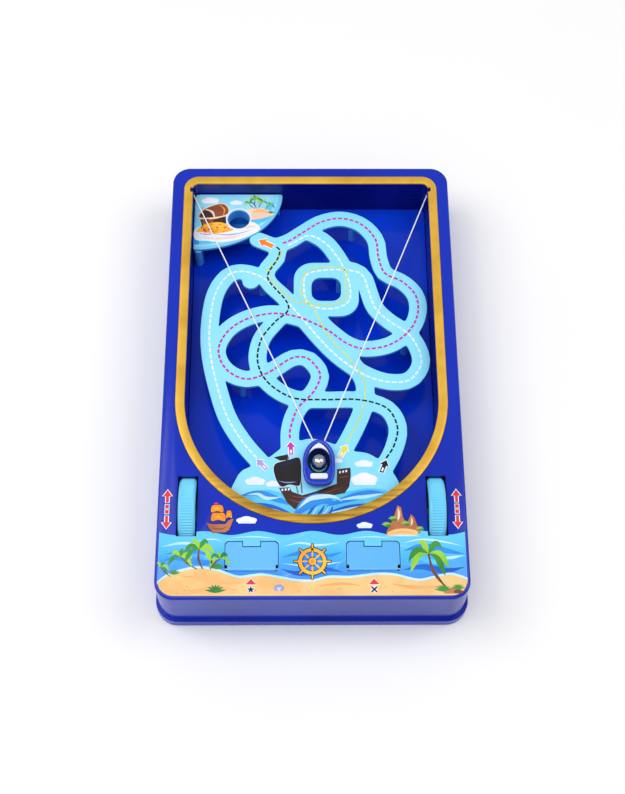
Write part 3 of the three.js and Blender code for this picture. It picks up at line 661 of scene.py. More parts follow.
for points, width, colour in (
        ([(-92, -124), (-78, -121.5), (-62, -124.5)], 1.6, "foam"),
        ([(-70, -120), (-60, -119), (-54, -121)], 0.9, "foam"),
        ([(-92, -133), (-80, -131), (-66, -134), (-54, -132)], 4.2, "wave"),
        ([(-90, -128.5), (-74, -127), (-58, -129.5)], 2.4, "wave"),
        ([(-66, -131), (-58, -129), (-53.6, -130)], 3.6, "shallow"),
        ([(-18, -124), (-8, -121.5), (4, -123), (18, -121)], 1.4, "foam"),
        ([(-19, -131), (-6, -128), (8, -130), (19, -127)], 3.4, "wave"),
        ([(-19, -138), (-8, -141), (8, -138.5), (19, -140.5)], 3.8, "deep"),
        ([(-19, -134.5), (-2, -136.2), (19, -133.5)], 1.2, "foam"),
        ([(54.5, -122), (66, -119.4), (80, -121), (92, -124)], 1.2, "foam"),
        ([(54.5, -127), (66, -124), (80, -126.5), (92, -129)], 4.4, "wave"),
        ([(70, -128), (80, -131.5), (92, -129.5)], 2.2, "foam"),
        ([(55, -134), (64, -131), (74, -134), (84, -132)], 3.2, "shallow"),
        ([(54.5, -139), (66, -137), (80, -139.5), (92, -137)], 4.2, "deep"),
        ([(-50, -118.2), (-36, -117.4), (-22, -118.6)], 0.8, "foam"),
        ([(22, -118.4), (36, -117.6), (50, -118.6)], 0.8, "foam")):
    beach.append((colour, 0 if colour in ("wave", "deep") else 1, streak(points, width)))
beach += tuft(-57.5, -138.2, 5.2, 2) + tuft(-83, -141.6, 4.2, 2)
beach += palm((-66, -138), (-68.4, -125.5), 9.5, (10, 55, 120, 165, -30, 205), 3)
beach += palm((-69.5, -138.2), (-79.5, -130.5), 7.5, (20, 80, 140, 190, -20), 3)
beach += palm((-61.5, -138.4), (-55.8, -131.6), 6.6, (-10, 45, 100, 150, 200), 3)
beach += palm((-85, -142.8), (-91.2, -137), 5, (10, 60, 120, 330), 3)
beach += palm((81, -151.5), (70.2, -128.6), 12.5, (-12, 48, 118, 172, 205, -40), 3)
beach += [("rock", 3, cloud(83.5, -152.6, 10.5, 4.6, 4)), ("bark", 4, cloud(87, -152.9, 5.5, 3.4, 3))]
for x, y, size in ((-58, -153.2, 6.5), (78, -152.6, 5.5), (87, -151.4, 4.5)):
    beach += tuft(x, y, size, 5)
beach.append(("lilac", 2, cloud(-20, -150.4, 6.4, 5.2, 6)))
beach += [("white", 3, streak([(-20, -152), (-20 + dx, -149)], 0.35)) for dx in (-1.8, -0.6, 0.6, 1.8)]

# a ship's wheel takes the place of the game's title
HELM = np.array([0, -133.4])
circle = np.linspace(0, 2 * np.pi, 72, endpoint=False)
disc = np.stack([np.cos(circle), np.sin(circle)], -1)
handle, spoke = streak([(1, 0), (6, 0), (11.2, 0)], 1.5, 0.9), streak([(2, 0), (4.5, 0), (7, 0)], 1.1, 0.77)
for angle in range(0, 360, 45):
    beach += outlined(turned_by(handle, angle, *HELM), 0.55, "navy", "gold", 3)
for colour, layer, r in (("navy", 3, 9.1), ("gold", 4, 8.5), ("navy", 5, 6.3), ("wave", 6, 5.8),
                         ("navy", 7, 2.9), ("gold", 8, 2.4), ("orange", 9, 1.1)):
    beach.append((colour, layer, disc * r + HELM))
beach += [("gold", 7, turned_by(spoke, angle, *HELM)) for angle in range(0, 360, 45)]

# a red pointer to each door, over a star for the winning tray and a cross for the losing one
MARK_X, MARK_Y = 36.9, -151.2
triangle = np.array([(-3.2, -148), (3.2, -148), (0, -144.4)])
corner_angle = np.radians(np.arange(10) * 36 + 90)
star = np.stack([np.cos(corner_angle), np.sin(corner_angle)], -1)
star *= np.where(np.arange(10) % 2, 1.05, 2.4)[:, None]
bar = np.array([(-2.3, -0.5), (2.3, -0.5), (2.3, 0.5), (-2.3, 0.5)])
for side in (-1, 1):
    beach += outlined(triangle + [side * MARK_X, 0], 0.6, "white", "red", 4)
beach += outlined(star + [-MARK_X, MARK_Y], 0.55, "white", "navy", 4)
for angle in (45, -45):
    beach += outlined(turned_by(bar, angle, MARK_X, MARK_Y), 0.5, "white", "navy", 4)
seaside = print_on("beach_print", label_high[2], beach)

# turning arrows beside each thumbwheel: two blocks between two arrows that point apart
head = np.array([(-0.9, 0), (-0.9, 4.2), (-2.7, 4.2), (0, 8.4), (2.7, 4.2), (0.9, 4.2), (0.9, 0)])
block = np.array([(-1.1, -1.2), (1.1, -1.2), (1.1, 1.2), (-1.1, 1.2)])
ARROWS_X, ARROWS_Y = 89, -99.25
marks = []
for x in (-ARROWS_X, ARROWS_X):
    for way in (1, -1):
        marks += outlined(head * [1, way] + [x, ARROWS_Y + way * 4.4], 0.6, "white", "red", 0)
        marks += outlined(block + [x, ARROWS_Y + way * 1.75], 0.55, "white", "red", 0)

# two clouds, a small ship and a rocky islet on the cover
marks += [("white", 0, cloud(-40, -107, 13, 6)),
          ("white", 0, cloud(32, -110.5, 10, 5)),
          ("foam", 1, streak([(-45, -108), (-40, -107.6), (-35, -108)], 0.7)),
          ("foam", 1, streak([(28, -111.3), (32, -111), (36, -111.3)], 0.6))]
hull = np.array([(-64.5, -108.5), (-61, -109.2), (-53, -109.2), (-51, -106.6), (-48, -105.6), (-50.6, -113),
                 (-53, -114.6), (-60.5, -114.6), (-62.6, -112)])
marks += outlined(hull, 0.35, "navy", "rock", 1)
marks.append(("bark", 3, streak([(-61.5, -111.6), (-56, -112.4), (-51.5, -110.8)], 0.7)))
for x, y, w, h in ((-58.2, -99.2, 7.2, 4.2), (-57.4, -104.7, 8.4, 4.8), (-50.9, -103, 3.6, 4.4)):
    sail = np.array([(x - w / 2, y - h / 2), (x, y - h / 2 + 0.7), (x + w / 2, y - h / 2),
                     (x + w / 2 - 0.5, y + h / 2), (x, y + h / 2 + 0.5), (x - w / 2 + 0.5, y + h / 2)])
    marks += outlined(curve_through(sail, closed=True, steps=5), 0.3, "navy", "orange", 2)
    marks.append(("gold", 4, streak([(x - w * 0.3, y), (x, y + 0.4), (x + w * 0.3, y)], h * 0.28)))
marks.append(("pink", 3, streak([(-60.5, -96), (-58.8, -95.4), (-57.2, -96.2)], 1.5)))
for loop in ([(45, -115), (48.5, -108), (50.5, -103.5), (52.5, -97), (54.5, -98.5), (55.5, -105), (58, -110),
              (58, -115)],
             [(55, -115), (58.5, -108), (60.6, -103), (62.4, -105), (64, -110), (66, -115)]):
    marks += outlined(np.array(loop, float), 0.3, "bark", "rock", 1)
marks += [("blush", 3, streak([(52.6, -98.5), (53.2, -103), (52.2, -108)], 1.6)),
          ("blush", 3, streak([(60.6, -104.6), (61, -108), (60.2, -111)], 1.2)),
          ("sand", 4, cloud(55, -115.4, 20, 6.4, 2)),
          ("dune", 5, streak([(47, -115.8), (55, -114.6), (63, -115.8)], 1.2)),
          ("foam", 6, streak([(44, -117.3), (55, -116.9), (66.5, -117.3)], 1.0))]
for x, y, size in ((45.5, -110.5, 3.4), (49.5, -106.5, 3.2), (57, -109.6, 3.0), (65.6, -112.8, 2.6)):
    marks += tuft(x, y, size, 5, "leaf")
    marks += tuft(x + 0.8, y - 0.9, size * 0.8, 6)
extras = print_on("cover_print", cover_top, marks, lift=0.26)


# ---------------------------------------------------------------- playfield
# The sunken basin under the maze: a dark blue wall all round, with slots for the strings and the ball,
# and a separate bright blue floor that slopes gently towards the player.

wall_blue = moulded("basin_blue_plastic", 0x031594, 0x02107C, 0.22, Specular_IOR_Level=0.3)
basin = polished("basin_wall", "playfield_surround", wall_blue, edge=0.2)
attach(basin, "root")
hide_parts("playfield_surround")

floor_blue = moulded("basin_floor_plastic", 0x0240E0, 0x0134C4, 0.16, Specular_IOR_Level=0.3)
bed = polished("basin_floor", "playfield_floor", floor_blue, edge=0.2)
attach(bed, "root")
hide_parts("playfield_floor")


# ---------------------------------------------------------------- maze plate
# One flat moulding of pale cyan plastic: a start plate, ways that cross and loop, and posts that hold
# it above the basin floor. Its edges are softly rounded, its steep walls are painted a deeper blue as the
# blue floor's reflection, and its ways carry printed dashes.

PLATE_THICK, PLATE_EDGE = 2.5, 0.45
EASE_STEP, EASE_SPREAD = 0.8, 1.1
POST_DROP, POST_SPREAD, POST_BITE = 8, 6, 0.3
plate_top = box_mm("maze_track")[1][2]
plate_low = plate_top - PLATE_THICK


def top_outlines(node):
    """The plan outlines of a CAD node's level top face, the longest first: its edges that have the top
    face on one side only, chained end to end."""
    shape = bmesh.new()
    shape.from_mesh(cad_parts[node].data)
    bmesh.ops.remove_doubles(shape, verts=shape.verts, dist=WELD)
    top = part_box(node)[1][2]
    level = {f for f in shape.faces if f.normal.z > 0.99 and f.calc_center_median().z > top - 1e-5}
    rim = {e for f in level for e in f.edges if sum(face in level for face in e.link_faces) == 1}
    loops = []
    while rim:
        edge = min(rim, key=lambda e: e.index)
        rim.remove(edge)
        first, corner = edge.verts
        chain = [first]
        while corner != first:
            chain.append(corner)
            edge = next(e for e in corner.link_edges if e in rim)
            rim.remove(edge)
            corner = edge.other_vert(corner)
        loops.append(np.array([corner.co.xy for corner in chain]) / MM)
    shape.free()
    return sorted(loops, key=lambda loop: -np.ptp(loop, axis=0).sum())


def eased(loop):
    """The loop walked at even steps and smoothed: its points, as complex numbers, lose their quick
    wobbles by a Gaussian of width EASE_SPREAD, which turns short straights into curves."""
    even = evenly(np.vstack([loop, loop[:1]]), EASE_STEP)[:-1]
    waves = np.fft.fft(even[:, 0] + 1j * even[:, 1])
    quick = np.fft.fftfreq(len(even), EASE_STEP)
    soft = np.fft.ifft(waves * np.exp(-2 * (np.pi * quick * EASE_SPREAD) ** 2))
    return np.stack([soft.real, soft.imag], -1)


def revolved(profile, x, y, count):
    """A profile of (radius, height) points carried round the upright line through x, y."""
    profile = np.array(profile)
    angle = np.linspace(0, 2 * np.pi, count, endpoint=False)
    return np.stack([x + profile[:, :1] * np.cos(angle), y + profile[:, :1] * np.sin(angle),
                     np.repeat(profile[:, 1:], count, 1)], -1)


def post(x, y, r, low, high, edge=0.3):
    """A round post with softly bevelled ends."""
    profile = [(r - edge, low), (r, low + edge), (r, high - edge), (r - edge, high)]
    return surface(revolved(profile, x, y, 24), close_rows=False)


def posts_under(node):
    """Centre, radius and foot height of each post under a CAD plate. Of the corners more than POST_DROP
    below the plate, those within POST_SPREAD of one another belong to one post."""
    co = np.zeros(len(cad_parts[node].data.vertices) * 3)
    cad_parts[node].data.vertices.foreach_get("co", co)
    low = np.unique(np.round(co.reshape(-1, 3) / MM, 2), axis=0)
    low = low[low[:, 2] < plate_low - POST_DROP]
    found = []
    while len(low):
        near = np.linalg.norm(low[:, :2] - low[0, :2], axis=1) < POST_SPREAD
        middle = (low[near, :2].min(0) + low[near, :2].max(0)) / 2
        found.append((*middle, np.ptp(low[near, 0]) / 2, low[near, 2].min()))
        low = low[~near]
    return found


def walled(made, other):
    """Gives the faces that look sideways, the moulding's steep walls, a finish of their own: a deeper blue
    painted as the blue floor's reflection.
    """
    normals = np.empty((len(made.data.polygons), 3), np.float32)
    made.data.polygons.foreach_get("normal", normals.ravel())
    made.data.materials.append(other)
    made.data.polygons.foreach_set("material_index", (np.abs(normals[:, 2]) < 0.6).astype(np.int32))


# the steep walls get a mid blue that is painted reflection of the blue basin floor
walls_painted_reflection = moulded("maze_wall_painted_reflection", 0x56B2F6, 0x4AA6EE, 0.4, Specular_IOR_Level=0.3)
track_cyan = moulded("maze_cyan_plastic", 0x94E6FF, 0x84DEFD, 0.34, Specular_IOR_Level=0.4)
moulding = [plate([eased(loop) for loop in top_outlines("maze_track")], plate_low, plate_top, PLATE_EDGE)]
moulding += [post(x, y, r, foot, plate_low + POST_BITE) for x, y, r, foot in posts_under("maze_track")]
maze = link("maze_plate", moulding, track_cyan, smooth=30)
walled(maze, walls_painted_reflection)
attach(maze, "root")
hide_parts("maze_track")

ROUTES = {
    "white": [(-35, -59.5), (-43.5, -49), (-54, -31), (-61, -9), (-66, 14), (-67.3, 36), (-64.3, 61),
              (-56, 76), (-47, 79.2), (-38, 77), (-30, 72), (-17.4, 57.3), (-5, 41.2), (5, 27.7),
              (14.4, 16.4), (24, 7.5), (36, -1), (50, -5.4), (64, -4), (71.8, 7), (70.8, 19), (64, 31),
              (52, 40.3), (43, 50.5), (38.8, 64), (35, 76), (26, 80), (8, 80), (-3, 76), (-4.6, 65),
              (-2.4, 55), (6, 50.2), (18, 50.6), (25.5, 56), (26.6, 66), (24, 77), (18.8, 89.7), (10, 102),
              (-1, 108), (-12, 102), (-19, 98.6)],
    "pink": [(-13.7, -46), (-13.7, -40), (-9, -25), (1.5, -12.5), (5.8, 0), (-1, 11), (-8, 13.2), (-15, 11),
             (-29, 1), (-43, -3.2), (-55.5, 4), (-61, 18), (-55.5, 32), (-42.5, 42), (-25, 46.2), (-9, 43.5),
             (3, 38), (12.3, 32.4), (24, 23), (36, 19.2), (52, 22.3), (65, 32.5), (71.3, 46), (70.5, 60),
             (62, 70.8), (50.5, 77.5), (46.3, 90), (44.5, 105), (35, 117.3), (21, 122.2), (7, 119),
             (-4, 111.5), (-15, 103.5), (-23, 101)],
    "yellow": [(22.5, -49), (27, -40.5), (34, -22), (34.3, -5), (26, 10.5), (15, 24), (7, 37), (2, 50),
               (-5, 58), (-7, 66), (-4, 77), (4, 82), (14, 82.2), (24, 80), (23.6, 70), (23, 58),
               (16, 53.4), (4, 53.2), (-8, 54.5), (-16, 60), (-26, 72), (-29, 80), (-23, 88), (-19.8, 94),
               (-20.4, 99)],
    "black": [(47.2, -60), (52.5, -51), (55, -38), (48.5, -24.5), (31, -18.5), (8, -18.4), (-12, -17),
              (-28, -6), (-35, 9), (-33, 26), (-24, 39.5), (-15.6, 48), (-16.6, 56), (-27.6, 70.5),
              (-28.6, 78), (-22.6, 89), (-21.2, 96), (-24.2, 99.4)],
}
# the length, pitch and width of each route's dashes
DASH = {"white": (3.2, 4.4, 1.15), "pink": (2.8, 4.0, 1.4), "yellow": (3.2, 4.4, 1.0),
        "black": (3.2, 4.4, 1.15)}
DASH_STEP = 0.4


def dashes(points, length, pitch, width):
    """Short strokes along a curve, one every pitch, each following the curve with square ends."""
    line = evenly(curve_through(points), DASH_STEP)
    ahead = np.gradient(line, axis=0)
    across = np.stack([-ahead[:, 1], ahead[:, 0]], -1) * (width / 2 / np.linalg.norm(ahead, axis=1))[:, None]
    each, long = round(pitch / DASH_STEP), round(length / DASH_STEP) + 1
    starts = range(0, len(line) - long, each)
    return [np.vstack([line[s:s + long] + across[s:s + long], (line - across)[s:s + long][::-1]])
            for s in starts]


signs = []
for layer, (colour, points) in enumerate(ROUTES.items()):
    signs += [(colour, layer, loop) for loop in dashes(points, *DASH[colour])]
pointer = np.array([(-1.3, -4.6), (1.3, -4.6), (1.3, 0.8), (2.9, 0.8), (0, 4.6), (-2.9, 0.8), (-1.3, 0.8)])
tail = np.array([(-0.6, -3.7), (0.6, -3.7), (0.6, -1.2), (-0.6, -1.2)])
for colour, x, y, angle in (("violet", -31.6, -64.2, 42), ("pink", -13.2, -53, 4),
                            ("yellow", 20.2, -55, -30), ("black", 45.6, -65.6, -22)):
    signs += outlined(turned_by(pointer, angle, x, y), 0.7, "white", colour, 4)
    signs.append(("white", 6, turned_by(tail, angle, x, y)))
goal_pointer = pointer * [1.25, 1.2]
signs += outlined(turned_by(goal_pointer, 62, -30.6, 101.6), 0.75, "white", "amber", 4)

# the start plate's picture: clouds, a wooden ship under a plain dark sail, and breaking waves
plate_r, plate_y = 79.4, WINDOW["arc_y"]


def arc_near(x):
    """The start plate's near edge at x, inside the window's half circle."""
    return plate_y - np.sqrt(plate_r**2 - np.asarray(x, float) ** 2)


swell = curve_through([(-50.6, -83.6), (-42, -85), (-35, -82.6), (-28, -81.6), (-20, -83.4), (-10, -84.6),
                       (0, -86), (10, -84), (22, -83), (32, -81), (41, -81), (50.5, -83.2)])
swell = swell[swell[:, 1] > arc_near(swell[:, 0]) + 0.5]
shore_x = np.linspace(swell[0, 0], swell[-1, 0], 60)
signs.append(("shallow", 1, np.vstack([swell, np.stack([shore_x, arc_near(shore_x)], -1)[::-1]])))
for colour, layer, points, width in (
        ("wave", 2, [(-46, -86), (-34, -84), (-22, -88), (-10, -93)], 4.6),
        ("foam", 3, [(-41, -85.2), (-34, -84.6), (-28, -87.4), (-19, -86.6)], 2.2),
        ("deep", 2, [(-38, -90.5), (-26, -93), (-12, -98)], 3.2),
        ("foam", 3, [(-30, -93.6), (-22, -95.6), (-12, -99.2)], 1.1),
        ("wave", 2, [(48, -84.5), (36, -84), (22, -88), (8, -93)], 5.0),
        ("foam", 3, [(46, -84), (34, -86.4), (26, -87.2), (16, -89)], 2.4),
        ("deep", 2, [(36, -91), (22, -94), (6, -99)], 3.4),
        ("foam", 3, [(30, -92.6), (20, -95.4), (8, -98)], 1.2),
        ("wave", 5, [(-12, -100.6), (-4, -92), (6, -88), (16, -92)], 8.5),
        ("foam", 6, [(-9, -95), (-2, -88.4), (6, -86.4), (14, -86.6), (19, -90)], 3.2),
        ("deep", 6, [(-4, -100.8), (0, -95), (3, -91.5)], 1.6),
        ("deep", 6, [(2, -101), (6, -95.6), (8, -91.6)], 1.6),
        ("foam", 7, [(-1, -100.6), (2, -96), (4, -93)], 0.8),
        ("foam", 7, [(5, -100.6), (9, -96), (11, -92.6)], 0.8),
        ("deep", 6, [(9, -100.4), (12, -96), (13, -92.4)], 1.5)):
    signs.append((colour, layer, streak(points, width)))
for x, y, w, h in ((-35.6, -76.2, 13, 7), (-24.6, -78, 9, 5), (33, -64.2, 12, 6), (33, -75.4, 17, 11),
                   (16.6, -62, 6, 4)):
    signs.append(("white", 1, cloud(x, y, w, h)))
hull = np.array([(-20.6, -80.4), (-14, -80), (-12.4, -83), (-6, -85.4), (2, -83), (15.6, -77.6),
                 (16, -67.6), (24.4, -66.6), (24.6, -72), (23.4, -79.6), (20.6, -84), (8.6, -86.5),
                 (-3, -88.5), (-6.8, -92), (-10.6, -95), (-15.4, -90.5)])
signs.append(("timber", 3, hull))
signs += [("bark", 4, streak(points, 0.9)) for points in (
    [(-16.6, -84), (-10, -86.5), (0, -86.2), (20, -80)], [(-15, -87.6), (-8, -90), (2, -88)],
    [(16.6, -74), (20, -73), (24, -72.6)])]
signs += [("white", 4, np.array([(x, y), (x + 1.1, y + 0.2), (x + 1.1, y + 1.7), (x, y + 1.5)])) for x, y in
          ((17.2, -70.6), (19.2, -70.2), (21.2, -69.8), (-19, -82.6), (-17, -82.4), (-15, -82.2))]
signs += [("bark", 3, streak(points, 0.9, 0.7)) for points in (
    [(-15.6, -57.2), (-12, -70), (-8.6, -84)], [(-7.7, -59.7), (-6.9, -72), (-6.2, -84)])]
sail = curve_through([(-23.4, -64.4), (-15, -61.2), (-7.9, -59.8), (-6.6, -69), (-7.6, -78.6), (-14, -78.2),
                      (-19.4, -79.4), (-23.2, -72.4)], closed=True, steps=6)
signs += outlined(sail, 0.25, "white", "sail", 4)
signs += [("navy", 6, streak([(-21.6, -66.4), (-15, -63.6), (-9.6, -62.2)], 1.2)),
          ("lilac", 6, streak([(-21.4, -75.6), (-15.6, -76.8), (-9.4, -76.2)], 0.7)),
          ("sail", 4, np.array([(-15.4, -57.4), (-15.2, -61.4), (-20, -61.6), (-24, -59.4), (-21, -58.6)]))]
route_print = print_on("maze_print", plate_top, signs)


# ---------------------------------------------------------------- treasure island
# The printed quarter-ellipse plate in the far left corner, where the ways end at the goal hole. It is
# a separate moulding with a collar under the hole and three short posts.

GOAL = {"x": -49.5, "y": 121.5, "r": 7.5, "wall": 1.4, "foot": 24}
ISLAND_MIDDLE, ISLAND_REACH = np.array([-80.3, 142.7]), np.array([60.3, 45.1])
WIDEST_POST = 3
island_loops = [eased(loop) for loop in top_outlines("treasure_island")]
island_blue = moulded("island_cyan_plastic", 0x7FD2F7, 0x6FC6F2, 0.32, Coat_Weight=0.2, Coat_Roughness=0.15)
collar_r = GOAL["r"] + GOAL["wall"]
collar = revolved([(GOAL["r"], GOAL["foot"]), (GOAL["r"], plate_top - 0.6), (collar_r, plate_top - 1),
                   (collar_r, GOAL["foot"])], GOAL["x"], GOAL["y"], 64)
# the collar is found among the posts too, but it is wider than any of them
shapes = [plate(island_loops, plate_low, plate_top, PLATE_EDGE), surface(collar)]
shapes += [post(x, y, r, foot, plate_low + POST_BITE) for x, y, r, foot in posts_under("treasure_island")
           if r < WIDEST_POST]
island = link("island_plate", shapes, island_blue, smooth=30)
# the island's steep walls get the same painted reflection of the blue floor
walled(island, walls_painted_reflection)
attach(island, "root")
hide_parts("treasure_island")


def island_arc(share, start, stop):
    """A part of the island's curved rim between two angles, drawn in to a share of its half widths."""
    a = np.radians(np.linspace(start, stop, 48)) - np.pi / 2
    return ISLAND_MIDDLE + np.stack([np.cos(a), np.sin(a)], -1) * ISLAND_REACH * share


def island_band(inner, outer, start, stop):
    """A band along the island's curved rim, between two shares of its half widths."""
    return np.vstack([island_arc(outer, start, stop), island_arc(inner, start, stop)[::-1]])


sky = np.vstack([island_arc(0.97, 1.2, 88.8), [(-20.6, 141.9), (-79.2, 141.9)]])
decal = [("wave", 1, island_band(0.80, 0.93, 0, 62)), ("shallow", 2, island_band(0.86, 0.93, 4, 80))]
hill = curve_through([(-79.2, 113.6), (-70, 116.4), (-60, 117), (-49, 117), (-41.8, 119.4), (-36.6, 117.2),
                      (-34.8, 112.9), (-39.9, 109.2), (-45.1, 106.6), (-52.1, 104), (-61.6, 102.7),
                      (-70.4, 103.6), (-79.2, 105)], closed=True, steps=6)
decal.append(("white", 3, hill))
decal += [(colour, 4, streak(points, width)) for colour, points, width in (
    ("blush", [(-76, 107), (-66, 105.6), (-54, 106.6), (-44, 109.4)], 1.8),
    ("lilac", [(-70, 110.4), (-60, 108.6), (-50, 109.6), (-40, 113)], 1.0),
    ("blush", [(-46, 113.4), (-41, 115.6), (-37.4, 114.6)], 1.6),
    ("violet", [(-77, 110), (-72, 109), (-66, 109.4)], 0.8))]
for x, y, w, h in ((-69.6, 136.6, 12.5, 6.4), (-51.6, 135, 9, 4.6)):
    decal.append(("white", 1, cloud(x, y, w, h)))
islet = curve_through([(-44.6, 128.4), (-38, 130.9), (-30.6, 129.8), (-25.2, 125.6), (-30, 123.4),
                       (-35, 121.8), (-40.9, 121), (-43, 124)], closed=True, steps=6)
decal += [("shallow", 1, streak([(-42, 119.6), (-34, 120.4), (-27, 124)], 3.4)), ("blush", 2, islet),
          ("sand", 3, streak([(-41, 127), (-34, 128.6), (-28, 126.2)], 2.2))]
decal += palm((-37.5, 130.4), (-38.3, 138.2), 4.6, (0, 50, 110, 160, 200, -30), 3, ("fern", "leaf"))
decal += palm((-38.8, 130.2), (-42.6, 134.8), 3.4, (10, 80, 150, 200), 3, ("fern", "leaf"))
decal += palm((-35.8, 130.2), (-33.2, 136), 3.6, (-10, 50, 120, 180), 3, ("fern", "leaf"))
decal += palm((-31.4, 129.4), (-27.9, 133.4), 3.2, (-20, 50, 120, 180), 3, ("fern", "leaf"))
decal += tuft(-27.5, 126.4, 2.4, 4)
lid = curve_through([(-76.6, 125.4), (-73, 130), (-64.4, 133.8), (-59.4, 133.4), (-56.8, 129.4),
                     (-58.2, 125.4), (-66.2, 122.4), (-71, 122.6), (-76.4, 122.8)], closed=True, steps=5)
decal += outlined(lid, 0.7, "blush", "chest", 4)
lid_end = curve_through([(-75.6, 125.4), (-72.6, 128.6), (-68.4, 126.8), (-66.8, 123.2), (-75.4, 123.6)],
                        closed=True, steps=4)
decal += [("timber", 6, lid_end),
          ("blush", 7, streak([(-72.4, 129.6), (-68, 127.4), (-66.2, 122.4)], 1.6, 1.0)),
          ("orange", 7, streak([(-62.6, 133.2), (-59.6, 129.4), (-60.2, 124.8)], 1.1, 0.7)),
          ("timber", 4, np.array([(-76.2, 121.4), (-58.6, 123.8), (-58.2, 118.4), (-66, 115.6),
                                  (-74.4, 115)])),
          ("blush", 6, streak([(-76.6, 121.9), (-67, 122.3), (-58, 124.6)], 1.5, 1.1)),
          ("chest", 5, np.array([(-75, 120.4), (-67, 120.8), (-67, 116), (-73.8, 115.6)]))]
heap = curve_through([(-78.4, 111.6), (-73, 116.8), (-66, 118.9), (-60, 118.4), (-56.8, 115.2),
                      (-53, 112.6), (-60, 110.6), (-66, 109.6), (-72, 110.6)], closed=True, steps=5)
decal.append(("gold", 6, heap))
for x, y in zip(rng.uniform(-76, -56, 34), rng.uniform(110.8, 117.6, 34)):
    colour = ("orange", "gold", "sand", "red")[int(rng.integers(0, 4))]
    decal.append((colour, 7 + int(rng.integers(0, 3)), disc[::6] * [0.9, 0.6] + [x, y]))
hole = np.array([GOAL["x"], GOAL["y"]])


def clear_of_hole(loop):
    """The loop pushed out of the goal hole and its printed rim."""
    away = np.asarray(loop, float) - hole
    far = np.linalg.norm(away, axis=1)[:, None]
    return hole + away * np.maximum(1, (GOAL["r"] + 1.2) / (far + 1e-9))


picture = [(colour, layer, clear_of_hole(loop)) for colour, layer, loop in decal]
island_print = print_on("island_print", plate_top, picture)
sunk = plate_top - PRINT_SINK
band = plate([sky, hole + disc * (GOAL["r"] + 0.5)], sunk, plate_top + 0.01, 0)
sky_band = link("island_sky_print", [band], INKS["sky"])
washer = plate([hole + disc * (GOAL["r"] + 1.3), hole + disc * (GOAL["r"] + 0.45)], sunk, plate_top + 0.4, 0)
ring = link("goal_ring_print", [washer], INKS["white"])
for made in (island_print, sky_band, ring):
    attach(made, "root")


# ---------------------------------------------------------------- ball return
# Polystyrene parts that the case hides: the blue gutter that takes a ball from the goal hole down the
# case's side, and the two white trays under the doors.

white_plastic = moulded("return_white_plastic", 0xEDF0F4, 0xE0E5EC, 0.38)
gutter_blue = moulded("gutter_blue_plastic", 0x2F8BE0, 0x2580D6, 0.36, Specular_IOR_Level=0.3)
for name in ("goal_chute", "win_tray", "lose_tray"):
    tint = gutter_blue if name == "goal_chute" else white_plastic
    channel = polished(name + "_moulding", name, tint, edge=0.2)
    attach(channel, "root")
    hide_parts(name)


# ---------------------------------------------------------------- doors
# Two light blue leaves that lift on steel pins at their near edge. Each has a round knuckle and a notch
# in its far edge, where the cover's tongue holds it shut.

door_blue = moulded("door_blue_plastic", 0x66BEFB, 0x5AB4F6, 0.3, Coat_Weight=0.2, Coat_Roughness=0.15)
pin_steel, place = finish("drawn_steel", Metallic=1.0)
drawn = place.noise(1800, 3, (0.05, 1, 1))
feed(pin_steel, Base_Color=drawn.blend(ink(0xB9BEC6), ink(0xD5D9DF)), Roughness=0.22 + 0.2 * drawn,
     Bump=(drawn, 0.2, 0.0001))
for name in ("win_door", "lose_door"):
    leaf = polished(name + "_leaf", name, door_blue, edge=0.45)
    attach(leaf, name)
    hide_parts(name)
    pin = polished(name + "_hinge_pin", name + "_pin", pin_steel, edge=0.15)
    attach(pin, "root")
    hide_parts(name + "_pin")


# ---------------------------------------------------------------- thumbwheels
# Cyan wheels with fine crosswise ribs to grip and a plain bevel on each edge. Each turns a steel axle
# with a white spool on its outer end, which winds the string.

RIBS, RIB_DEPTH = 84, 0.5
wheel_axis = (wheel_low + wheel_high) / 2
wheel_half = (wheel_high[0] - wheel_low[0]) / 2
wheel_cyan = moulded("thumbwheel_cyan_plastic", 0x74D8FA, 0x66CBF6, 0.36, Coat_Weight=0.1, Coat_Roughness=0.2)


def ribbed_wheel(x_middle):
    """A wheel revolved about X from a closed profile of (x, radius): rim, bevels, recessed web and hub.
    Round the rim the radius also dips by RIB_DEPTH between RIBS ribs, and not at all on the bevels."""
    w = wheel_half
    profile = np.array([(-w, 20.5), (-w, 22.6), (-w + 0.3, 23.0), (-w + 1.3, 23.9), (-w + 1.7, 24),
                        (-w + 1.9, 24), (w - 1.9, 24), (w - 1.7, 24), (w - 1.3, 23.9), (w - 0.3, 23.0),
                        (w, 22.6), (w, 20.5),
                        (w - 0.3, 20), (1.5, 19.6), (1.5, 5.4), (w - 0.6, 5), (w, 4.6), (w, 1.8),
                        (-w, 1.8), (-w, 4.6), (-w + 0.6, 5), (-1.5, 5.4), (-1.5, 19.6), (-w + 0.3, 20)])
    ribbed = (profile[:, 1] > 23.95) & (np.abs(profile[:, 0]) < w - 1.8)
    angle = np.linspace(0, 2 * np.pi, RIBS * 6, endpoint=False)
    dip = RIB_DEPTH * (0.5 - 0.5 * np.cos(RIBS * angle)) ** 2
    radius = profile[:, 1:] - ribbed[:, None] * dip
    return np.stack([x_middle + np.repeat(profile[:, :1], len(angle), 1),
                     wheel_axis[1] + radius * np.cos(angle), wheel_axis[2] + radius * np.sin(angle)], -1)


for side, name in ((-1, "left"), (1, "right")):
    body = f"{name}_wheel"
    ribbed = surface(ribbed_wheel(side * wheel_axis[0]))
    wheel = link(f"thumbwheel_{name}_ribbed", [ribbed], wheel_cyan, smooth=50)
    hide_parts(f"thumbwheel_{name}")
    axle = polished(f"axle_{name}", f"wheel_axle_{name}", pin_steel, edge=0.2)
    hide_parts(f"wheel_axle_{name}")
    reel = polished(f"spool_{name}", f"string_spool_{name}", white_plastic, edge=0.2)
    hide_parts(f"string_spool_{name}")
    for made in (wheel, axle, reel):
        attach(made, body)

